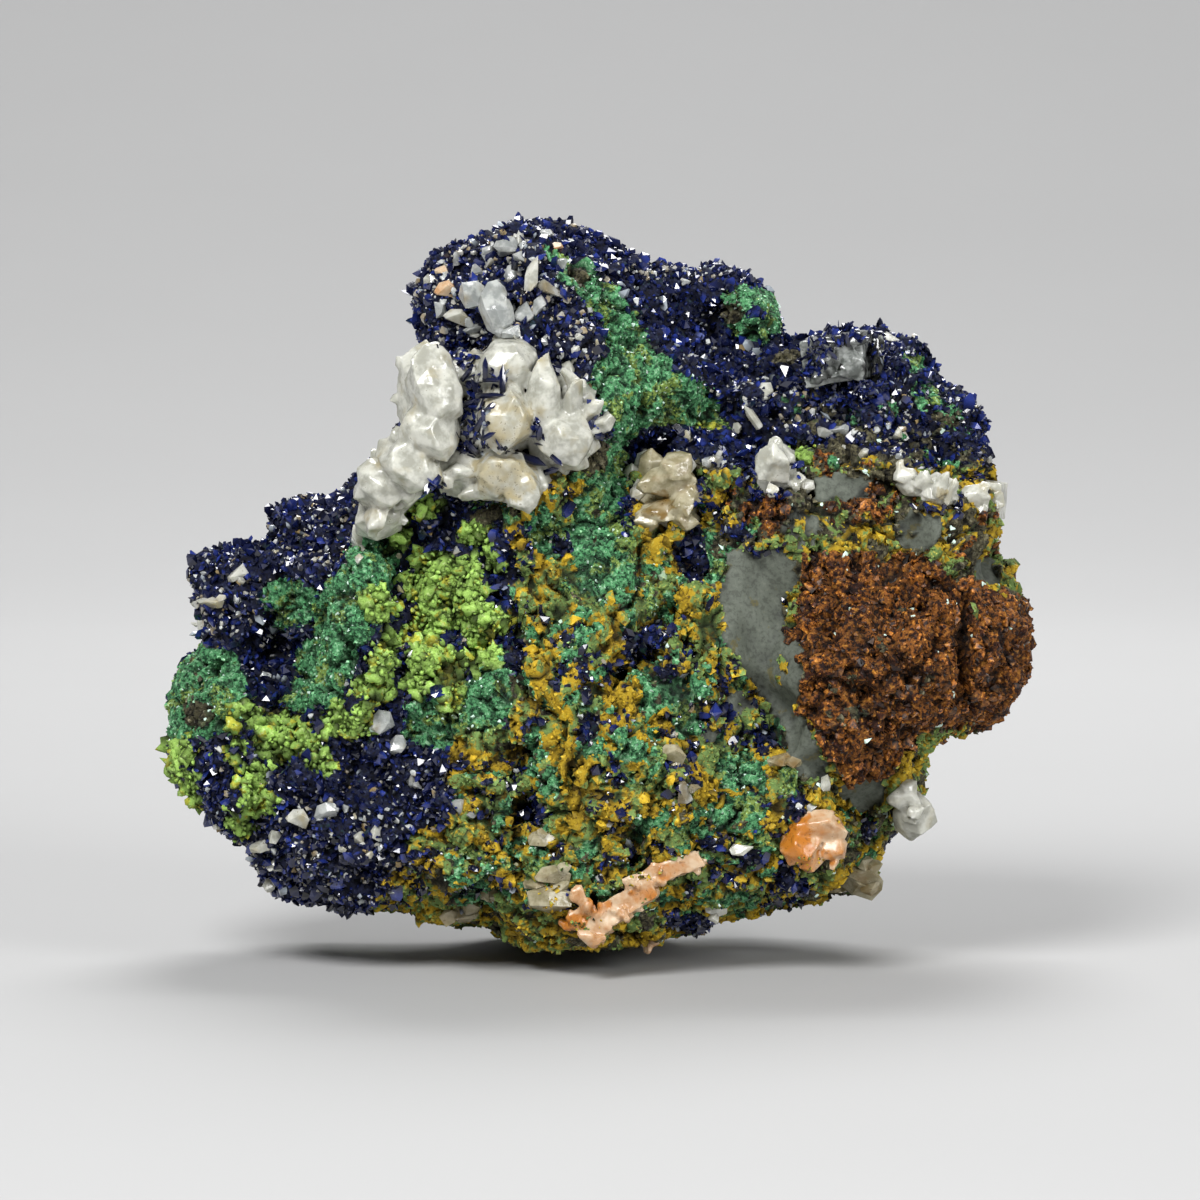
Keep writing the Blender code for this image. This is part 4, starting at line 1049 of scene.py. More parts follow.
def spaced(places: Points, spacing: float) -> list[int]:
    """Indices of the places that are kept so that no two are closer than the spacing."""
    grid: dict[tuple[int, int, int], list[int]] = {}
    kept = []
    for index, place in enumerate(places):
        i, j, k = (int(math.floor(value / spacing)) for value in place)
        near = (grid.get((i + di, j + dj, k + dk), ()) for di in (-1, 0, 1) for dj in (-1, 0, 1) for dk in (-1, 0, 1))
        if all(((places[other] - place) ** 2).sum() > spacing * spacing for cell in near for other in cell):
            grid.setdefault((i, j, k), []).append(index)
            kept.append(index)
    return kept


# ------------------------------------------------------------------------------------------------ forms


@dataclass(frozen=True)
class Form:
    """A small closed shape, about one unit high with its foot at the origin."""

    points: Points
    faces: Points

    @staticmethod
    def hull(cloud_points: Iterable[Sequence[float]]) -> "Form":
        """The flat-faced solid around these points."""
        bm = bmesh.new()
        for point in cloud_points:
            bm.verts.new(point)
        made = bmesh.ops.convex_hull(bm, input=bm.verts)
        loose = {item for item in made["geom_interior"] + made["geom_unused"] if isinstance(item, bmesh.types.BMVert)}
        bmesh.ops.delete(bm, geom=list(loose), context="VERTS")
        return Form.read(bm)

    @staticmethod
    def ball(rings: int, wobble: float, seed: int) -> "Form":
        """A rounded lump around the origin, one unit across."""
        bm = bmesh.new()
        bmesh.ops.create_icosphere(bm, subdivisions=rings, radius=0.5)
        for vert in bm.verts:
            vert.co *= 1.0 + wobble * noise.noise(vert.co * 2.2 + Vector((seed * 3.7, 0.0, 0.0)))
        return Form.read(bm)

    @staticmethod
    def read(bm: bmesh.types.BMesh) -> "Form":
        """The form that a bmesh holds, which is freed."""
        bmesh.ops.triangulate(bm, faces=bm.faces)
        bmesh.ops.recalc_face_normals(bm, faces=bm.faces)
        bm.verts.index_update()
        points = np.array([vert.co[:] for vert in bm.verts])
        faces = np.array([[vert.index for vert in face.verts] for face in bm.faces])
        bm.free()
        return Form(points, faces)


def blade(flatness: float, shoulder: float, ridge: float, skew: float = 0.0) -> Form:
    """A four-sided crystal with a slanted roof, as azurite grows.

    Args:
        flatness: its thickness, as a share of its width.
        shoulder: the height at which the roof starts.
        ridge: the roof's length.
        skew: how far the roof is pushed to one side.

    Returns:
        The form.
    """
    foot = [(0.42, 0.0, 0.0), (0.0, 0.42 * flatness, 0.0), (-0.42, 0.0, 0.0), (0.0, -0.42 * flatness, 0.0)]
    ring = [(0.5, 0.0, shoulder), (0.0, 0.5 * flatness, shoulder + 0.08), (-0.5, 0.0, shoulder - 0.06),
            (0.0, -0.5 * flatness, shoulder + 0.03)]
    return Form.hull(foot + ring + [(ridge + skew, 0.02, 1.0), (skew - ridge, -0.02, 0.94)])


def point(sides: int, shoulder: float, seed: int) -> Form:
    """A prism with a pointed, uneven tip, as quartz grows."""
    dice = np.random.default_rng(seed)
    ring = [(math.cos(i * 2 * math.pi / sides) / 2, math.sin(i * 2 * math.pi / sides) / 2) for i in range(sides)]
    low = [(x * 0.94, y * 0.94, 0.0) for x, y in ring]
    high = [(x, y, shoulder + dice.uniform(-0.09, 0.09)) for x, y in ring]
    tip = [(dice.uniform(-0.08, 0.08), dice.uniform(-0.08, 0.08), 1.0)]
    return Form.hull(low + high + tip)


def chunk(count: int, seed: int) -> Form:
    """A broken, many-faced lump around the origin, one unit across."""
    dice = np.random.default_rng(seed)
    return Form.hull(slopes(count, dice) * dice.uniform(0.42, 0.56, (count, 1)))


class Swarm:
    """Many copies of small forms, joined in one mesh."""

    def __init__(self, name: str, seed: int) -> None:
        """Starts an empty swarm with its own random draw."""
        self.name = name
        self.dice = np.random.default_rng(seed)
        self.points: list[Points] = []
        self.faces: list[Points] = []
        self.tints: list[Points] = []
        self.tops: list[Points] = []
        self.count = 0

    def axes(self, normals: Points, tilt: float) -> Points:
        """Random frames whose third axis is about the normal.

        Args:
            normals: one for each frame.
            tilt: how far the third axis may lean from it, as the tangent of the angle.

        Returns:
            One matrix for each, with the axes as its columns.
        """
        up = unit(normals + tilt * self.dice.normal(size=normals.shape) * 0.6)
        side = unit(np.cross(up, self.dice.normal(size=normals.shape)))
        return np.stack([side, np.cross(up, side), up], axis=2)

    def add(self, form: Form, places: Points, frames: Points, sizes: Points, tints: Points,
            bare: Points | float = 1.0) -> None:
        """Adds a copy of the form at each place. bare is how open the place lies, and with each point's height in its
        form it makes the top that the finishes darken as painted shade.
        """
        if not len(places):
            return
        local = form.points[None] * sizes[:, None]
        moved = np.einsum("nij,nkj->nki", frames, local) + places[:, None]
        offsets = self.count + np.arange(len(places)) * len(form.points)
        self.points.append(moved.reshape(-1, 3))
        self.faces.append((form.faces[None] + offsets[:, None, None]).reshape(-1, 3))
        self.tints.append(np.repeat(tints, len(form.points)))
        # Painted shade: top is each point's height in its form times how open its place lies, and the finishes darken
        # low values.
        low, high = form.points[:, 2].min(), form.points[:, 2].max()
        tops = (form.points[:, 2] - low) / (high - low)
        self.tops.append((tops[None] * (np.zeros(len(places)) + bare)[:, None]).ravel())
        self.count += len(places) * len(form.points)

    def spread(self, forms: Sequence[Form], places: Points, normals: Points, bare: Points,
               size: tuple[float, float], height: tuple[float, float] | None = None, tilt: float = 0.5,
               sink: float = 0.3) -> None:
        """Adds one of the forms at each place, standing on the skin.

        Args:
            forms: to choose from.
            places: on the skin.
            normals: of the skin there.
            bare: how open each place lies.
            size: smallest and largest width.
            height: smallest and largest height, or none where it is the width.
            tilt: how far they lean.
            sink: share of the height that is under the skin.
        """
        width = size[0] + (size[1] - size[0]) * self.dice.random(len(places)) ** 1.7
        tall = width if height is None else self.dice.uniform(*height, len(places)) * (0.6 + 0.4 * width / size[1])
        frames = self.axes(normals, tilt)
        feet = places - frames[:, :, 2] * (tall * sink)[:, None]
        sizes = np.stack([width * self.dice.uniform(0.75, 1.25, len(width)), width, tall], axis=1)
        tints = self.dice.random(len(places))
        which = self.dice.integers(len(forms), size=len(places))
        for index, form in enumerate(forms):
            own = which == index
            self.add(form, feet[own], frames[own], sizes[own], tints[own], bare[own])

    def build(self, smooth: bool, material: bpy.types.Material, slot: str, *nodes: str) -> bpy.types.Object | None:
        """Makes the object.

        Args:
            smooth: whether its faces are shaded as one round surface.
            material: its finish.
            slot: not used.
            nodes: the solids that it stands for.

        Returns:
            The object, or none where the swarm is empty.
        """
        if not self.points:
            return None
        points, faces = np.concatenate(self.points), np.concatenate(self.faces)
        points[:, 2] = np.maximum(points[:, 2], LOWEST)
        mesh = bpy.data.meshes.new(self.name)
        mesh.vertices.add(len(points))
        mesh.vertices.foreach_set("co", (points * MM).ravel())
        mesh.loops.add(faces.size)
        mesh.loops.foreach_set("vertex_index", faces.ravel())
        mesh.polygons.add(len(faces))
        mesh.polygons.foreach_set("loop_start", np.arange(0, faces.size, 3))
        mesh.polygons.foreach_set("use_smooth", np.full(len(faces), smooth))
        mesh.update()
        mesh.validate()
        for key, values in (("tint", self.tints), ("top", self.tops)):
            store(mesh, key, np.concatenate(values))
        mesh.materials.append(material)
        made = link(self.name, mesh)
        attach(made, "root")
        if nodes:
            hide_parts(*nodes)
        LOG.info("%s: %d triangles", self.name, len(faces))
        return made


# ------------------------------------------------------------------------------------------ the crusts


@dataclass(frozen=True)
class Tier:
    """Grains of one range of sizes in a crust. rings is how round a lump is, or 0 where it has flat faces."""

    size: tuple[float, float]
    density: float
    spacing: float
    rings: int = 1
    sink: float = 0.1
    wobble: float = 0.5
    facets: int = 9


AZURITE_CRYSTALS = CrystalFinish("azurite_crystals", (0.005, 0.007, 0.030), (0.022, 0.042, 0.26), (0.34, 0.38, 0.42),
                                 0.12, 1.75, 2.4)


@dataclass
class Azurite:
    """The blue crystal crusts. A place further than reach from every crust's solid is one of the specks.

    coarse is the share of the density on the back. seed is that of the places, and dice that of the crystals.
    """

    ground: Ground
    homes: tuple[str, ...] = ("azurite_crown", "azurite_knobs", "azurite_hollow", "azurite_flank")
    reach: float = 2.5
    coarse: float = 0.25
    tiers: tuple[Tier, ...] = (Tier((0.8, 1.7), 0.7, 1.0), Tier((0.36, 0.84), 5.2, 0.44))
    seed: int = 31
    dice: int = 40

    def build(self) -> None:
        """Makes one piece of crystals for each crust, and one for the small patches between them."""
        ground = self.ground
        material = AZURITE_CRYSTALS.build()
        front = ground.view.faced(ground.normals, 1.5, 0.4, self.coarse)
        forms = [blade(0.62, 0.55, 0.12), blade(0.45, 0.62, 0.26, 0.08), blade(0.8, 0.5, 0.1, -0.1),
                 blade(0.35, 0.7, 0.3)]
        names = [name + "_druse" for name in self.homes] + ["azurite_specks"]
        swarms = [Swarm(name, self.dice + index) for index, name in enumerate(names)]
        for number, tier in enumerate(self.tiers):
            mask = ground.is_kind(AZURITE) * front
            places, normals, bare = ground.scatter(mask, tier, self.seed + number)
            owner = self.owners(places)
            for index, swarm in enumerate(swarms):
                own = owner == index
                low, high = tier.size
                swarm.spread(forms, places[own], normals[own], bare[own], tier.size, (low * 1.1, high * 1.2), 1.2, 0.3)
        for swarm, name in zip(swarms, self.homes + ("",)):
            swarm.build(False, material, "azurite", *((name,) if name else ()))

    def owners(self, places: Points) -> Points:
        """The crust that each place belongs to, or one more than the last where it is far from all."""
        graph = bpy.context.evaluated_depsgraph_get()
        away = np.full((len(places), len(self.homes) + 1), self.reach)
        for index, name in enumerate(self.homes):
            tree = BVHTree.FromObject(self.ground.frame["nodes"][name], graph)
            away[:, index] = [tree.find_nearest(Vector(place) * MM)[3] / MM for place in places]
        return away.argmin(axis=1)


@dataclass
class Granules:
    """A crust of small grains in one or more ranges of sizes."""

    name: str
    mineral: Mineral
    finish: GrainFinish
    slot: str
    tiers: tuple[Tier, ...]
    seed: int
    nodes: tuple[str, ...] = ()

    def build(self, ground: Ground) -> None:
        """Makes the crust's grains, fewer on the back than on the front."""
        front = ground.view.faced(ground.normals, 1.5, 0.5, 0.35)
        mask = ground.is_kind(self.mineral) * front * (1.0 - 0.9 * ground.sunk)
        swarm = Swarm(self.name, self.seed)
        for number, tier in enumerate(self.tiers):
            places, normals, bare = ground.scatter(mask, tier, self.seed * 10 + number)
            forms = [Form.ball(tier.rings, tier.wobble, i) if tier.rings else chunk(tier.facets, self.seed + i)
                     for i in range(6)]
            swarm.spread(forms, places, normals, bare, tier.size, None, 0.5, tier.sink)
        swarm.build(self.tiers[0].rings > 0, self.finish.build(), self.slot, *self.nodes)


@dataclass
class Grit:
    """Small quartz grains that stand among the blue and green crystals."""

    name: str
    finish: MilkyFinish
    homes: tuple[Spot, ...]
    tier: Tier
    seed: int
    least: float = 0.06

    def build(self, ground: Ground) -> None:
        """Makes the grains, thickest at their homes, where a home's share is how thick."""
        x, z = ground.view.flatten(ground.points)
        thick = np.full(len(x), self.least)
        for home in self.homes:
            thick = np.where(home.covers(x, z), home.share, thick)
        mask = np.where(ground.kinds == AZURITE.value, thick, 0.0)
        places, normals, bare = ground.scatter(mask, self.tier, self.seed)
        swarm = Swarm(self.name, self.seed)
        forms = [chunk(self.tier.facets, self.seed + i) for i in range(8)]
        swarm.spread(forms, places, normals, bare, self.tier.size, None, 0.8, self.tier.sink)
        swarm.build(False, self.finish.build(), "quartz")


# ---------------------------------------------------------------------------------- the large crystals


class Habit(Enum):
    """How a large crystal is formed."""

    CHUNK = 0
    POINT = 1
    EGG = 2


@dataclass(frozen=True)
class Crystal:
    """One large crystal, as the front shows it.

    turn is clockwise from upright, lean is towards the viewer, both in degrees, and out is how far its middle
    stands off the skin. family is how many smaller crystals grow beside it, and stain is about its tint.
    """

    habit: Habit
    x: float
    z: float
    wide: float
    tall: float
    out: float = 0.3
    turn: float = 0.0
    lean: float = 0.0
    family: int = 0
    stain: float = 0.3


def crystals(habit: Habit, *rows: tuple[float, ...]) -> tuple[Crystal, ...]:
    """Crystals of one habit, each row with the rest of a Crystal's fields."""
    return tuple(Crystal(habit, *row) for row in rows)


@dataclass
class Cluster:
    """Large crystals that make one piece, on the body of the solids that it stands for.

    crumbs is how many small crystals stand on a square millimetre of that body, which a hollow one leaves out
    itself, and stains are its stained places. grain is how finely all is fused, or 0 where the crystals stay apart,
    and keep is the share of its faces that is kept. rests are earlier pieces to stand on, and fringe
    is where fine blades grow, at most blades on a square millimetre. rough is the relief of a fused piece and tint
    its even tint. Edges sharper than sharp degrees stay sharp.
    """

    name: str
    slot: str
    finish: MilkyFinish | CrystalFinish | GrainFinish
    crystals: tuple[Crystal, ...]
    nodes: tuple[str, ...] = ()
    crumbs: float = 0.0
    crumb: tuple[float, float] = (0.5, 1.8)
    stains: tuple[Spot, ...] = ()
    grain: float = 0.0
    keep: float = 0.4
    rests: tuple[str, ...] = ()
    hollow: bool = False
    fringe: tuple[Spot, ...] = ()
    rough: float = 0.14
    tint: float = 0.15
    sharp: float = 28.0
    blades: float = 5.0

    def build(self, ground: Ground) -> None:
        """Makes the piece."""
        swarm = Swarm(self.name, len(self.name) * 7)
        trees = [ground.tree] + [self.body(swarm, ground, name) for name in self.nodes]
        trees += [ground.stands[name] for name in self.rests]
        for number, crystal in enumerate(self.crystals):
            self.grow(swarm, ground, trees, crystal, number)
        for patch in self.fringe:
            self.fray(swarm, ground, trees, patch)
        made = swarm.build(True, self.finish.build(), self.slot, *self.nodes)
        if self.grain:
            self.fuse(made)
            LOG.info("%s: %d triangles", self.name, len(made.data.polygons))
        made.data.set_sharp_from_angle(angle=math.radians(self.sharp))
        self.stain(made.data, ground.view)
        ground.stands[self.name] = BVHTree.FromObject(made, bpy.context.evaluated_depsgraph_get())

    def stain(self, mesh: bpy.types.Mesh, view: View) -> None:
        """Stores a high tint at the stained places."""
        tints, points = mesh.attributes["tint"].data, array_of(mesh.vertices, "co", 3) / MM
        values = array_of(tints, "value", 1)
        x, z = view.flatten(points)
        for stain in self.stains:
            inside = stain.covers(x + cloud(points, 1.2, 3.0), z + cloud(points, 1.2, 4.0))
            values = np.where(inside, stain.share, values)
        tints.foreach_set("value", values)

    def fuse(self, made: bpy.types.Object) -> None:
        """Joins the crystals into one mass with worn edges and many small, uneven faces."""
        whole = made.data
        mesh = remeshed(made, self.grain, 1)
        points, normals = array_of(mesh.vertices, "co", 3) / MM, array_of(mesh.vertices, "normal", 3)
        rise = self.rough * (cloud(points, 1.5, 81.0) + 0.4 * cloud(points, 0.6, 82.0))
        mesh.vertices.foreach_set("co", ((points + normals * rise[:, None]) * MM).ravel())
        made.data = mesh
        made.data = modified(made, ("DECIMATE", {"ratio": self.keep}))
        made.data.shade_smooth()
        store(made.data, "tint", np.full(len(made.data.vertices), self.tint))
        bpy.data.meshes.remove(whole)

    def body(self, swarm: Swarm, ground: Ground, name: str) -> BVHTree:
        """Adds one of its solids, with small crystals over it, and returns it as something to stand on."""
        bm = welded(ground.frame["nodes"][name].data)
        normals = np.array([vert.normal[:] for vert in bm.verts])
        form = Form.read(bm)
        points = form.points / MM
        if not self.hollow:
            one = np.ones((1, 3))
            swarm.add(Form(points, form.faces), np.zeros((1, 3)), np.eye(3)[None], one, one[:, 0] * 0.2)
        front = ground.view.faced(normals, 1.5, 0.5, 0.1)
        if self.crumbs:
            places, up, _ = sample(points, normals, form.faces, front, self.crumbs, self.crumb[0] * 0.6, 17)
            forms = [chunk(12, 300 + i) for i in range(6)] + [tip(310 + i) for i in range(2)]
            tall = (self.crumb[0], self.crumb[1] * 1.3)
            swarm.spread(forms, places, up, np.ones(len(places)), self.crumb, tall, 0.7, 0.1)
        return BVHTree.FromPolygons((points * MM).tolist(), form.faces.tolist())

    def grow(self, swarm: Swarm, ground: Ground, trees: list[BVHTree], crystal: Crystal, number: int) -> None:
        """Adds one crystal and its family."""
        place = ground.hit(crystal.x, crystal.z, trees)
        place = place + ground.view.axes[2] * crystal.out
        self.place(swarm, crystal, place, (crystal.wide, crystal.tall), crystal.turn, crystal.lean, number)
        for child in range(crystal.family):
            angle = swarm.dice.uniform(0.0, 2 * math.pi)
            right, up, back = ground.view.axes
            spot = place + right * math.cos(angle) * crystal.wide * 0.40 + up * math.sin(angle) * crystal.tall * 0.40
            spot = spot + back * swarm.dice.uniform(-0.2, 0.5) * crystal.wide * 0.3
            share = swarm.dice.uniform(0.3, 0.6)
            size = (crystal.wide * share, crystal.wide * share * swarm.dice.uniform(0.9, 1.7))
            turn = math.degrees(math.pi / 2 - angle) + swarm.dice.uniform(-40, 40)
            self.place(swarm, crystal, spot, size, turn, swarm.dice.uniform(0, 45), number * 10 + child)

    def fray(self, swarm: Swarm, ground: Ground, trees: list[BVHTree], patch: Spot) -> None:
        """Adds fine blades, or crumbs of another finish, all over an oval patch."""
        count = int(patch.across * patch.up * self.blades * patch.share)
        fine = isinstance(self.finish, CrystalFinish)
        away, angle = np.sqrt(swarm.dice.random(count)) / 2, swarm.dice.uniform(0.0, 2 * math.pi, count)
        seen = zip(patch.x + patch.across * away * np.cos(angle), patch.z + patch.up * away * np.sin(angle))
        places = np.array([ground.hit(x, z, trees) for x, z in seen])
        forms = [blade(0.5, 0.6, 0.2), blade(0.35, 0.7, 0.3)] if fine else [chunk(9, i) for i in range(4)]
        normals = np.tile(ground.view.axes[2], (count, 1))
        tall = (0.7, 1.9) if fine else None
        swarm.spread(forms, places, normals, np.ones(count), (0.3, 0.8), tall, 2.2, 0.3)

    def place(self, swarm: Swarm, crystal: Crystal, middle: Points, size: tuple[float, float], turn: float,
              lean: float, seed: int) -> None:
        """Adds one closed crystal around its middle."""
        wide, tall = size
        rotation = np.array(Matrix.Rotation(math.radians(turn), 3, "Y") @ Matrix.Rotation(math.radians(lean), 3, "X"))
        spin = np.array(Matrix.Rotation(swarm.dice.uniform(0, 6.28), 3, "Z"))
        form, deep = FORMS[crystal.habit](seed), min(wide, tall)
        if crystal.habit == Habit.POINT:
            form, deep = Form(form.points @ spin.T, form.faces), wide
        tint = np.array([min(crystal.stain * swarm.dice.uniform(0.6, 1.4), 1.0)])
        swarm.add(form, middle[None], rotation[None], np.array([[wide, deep, tall]]), tint)


def lump(seed: int) -> Form:
    """A rounded, broken crystal with flat patches."""
    return chunk(14, seed)


def tip(seed: int) -> Form:
    """A six-sided crystal around its middle."""
    form = point(6, 0.66, seed)
    return Form(form.points - (0.0, 0.0, 0.5), form.faces)


def egg(seed: int) -> Form:
    """A worn, rounded crystal."""
    return Form.ball(2, 0.5, seed)


FORMS = {Habit.CHUNK: lump, Habit.POINT: tip, Habit.EGG: egg}

MILKY = MilkyFinish("milky_quartz", (0.36, 0.36, 0.31), (0.58, 0.58, 0.52), (0.38, 0.33, 0.20))
BEIGE = MilkyFinish("beige_quartz", (0.24, 0.21, 0.12), (0.41, 0.375, 0.26), (0.18, 0.11, 0.03), 0.22, 1.2, 0.4)
CLEAR = MilkyFinish("clear_quartz", (0.36, 0.38, 0.37), (0.66, 0.68, 0.65), (0.3, 0.25, 0.15), 0.12, 2.0, 0.3, 0.3)
GRIT = MilkyFinish("quartz_grit", (0.30, 0.32, 0.32), (0.60, 0.62, 0.60), (0.25, 0.18, 0.08), 0.12, 1.0, 0.0)
SMOKY = MilkyFinish("smoky_quartz", (0.10, 0.11, 0.10), (0.40, 0.42, 0.40), (0.012, 0.012, 0.011), 0.12, 2.0, 0.2, 0.2)
CALCITE = MilkyFinish("orange_calcite", (0.48, 0.27, 0.13), (0.60, 0.45, 0.30), (0.46, 0.165, 0.018), 0.3, 0.9, 0.4)

C, P, E = Habit

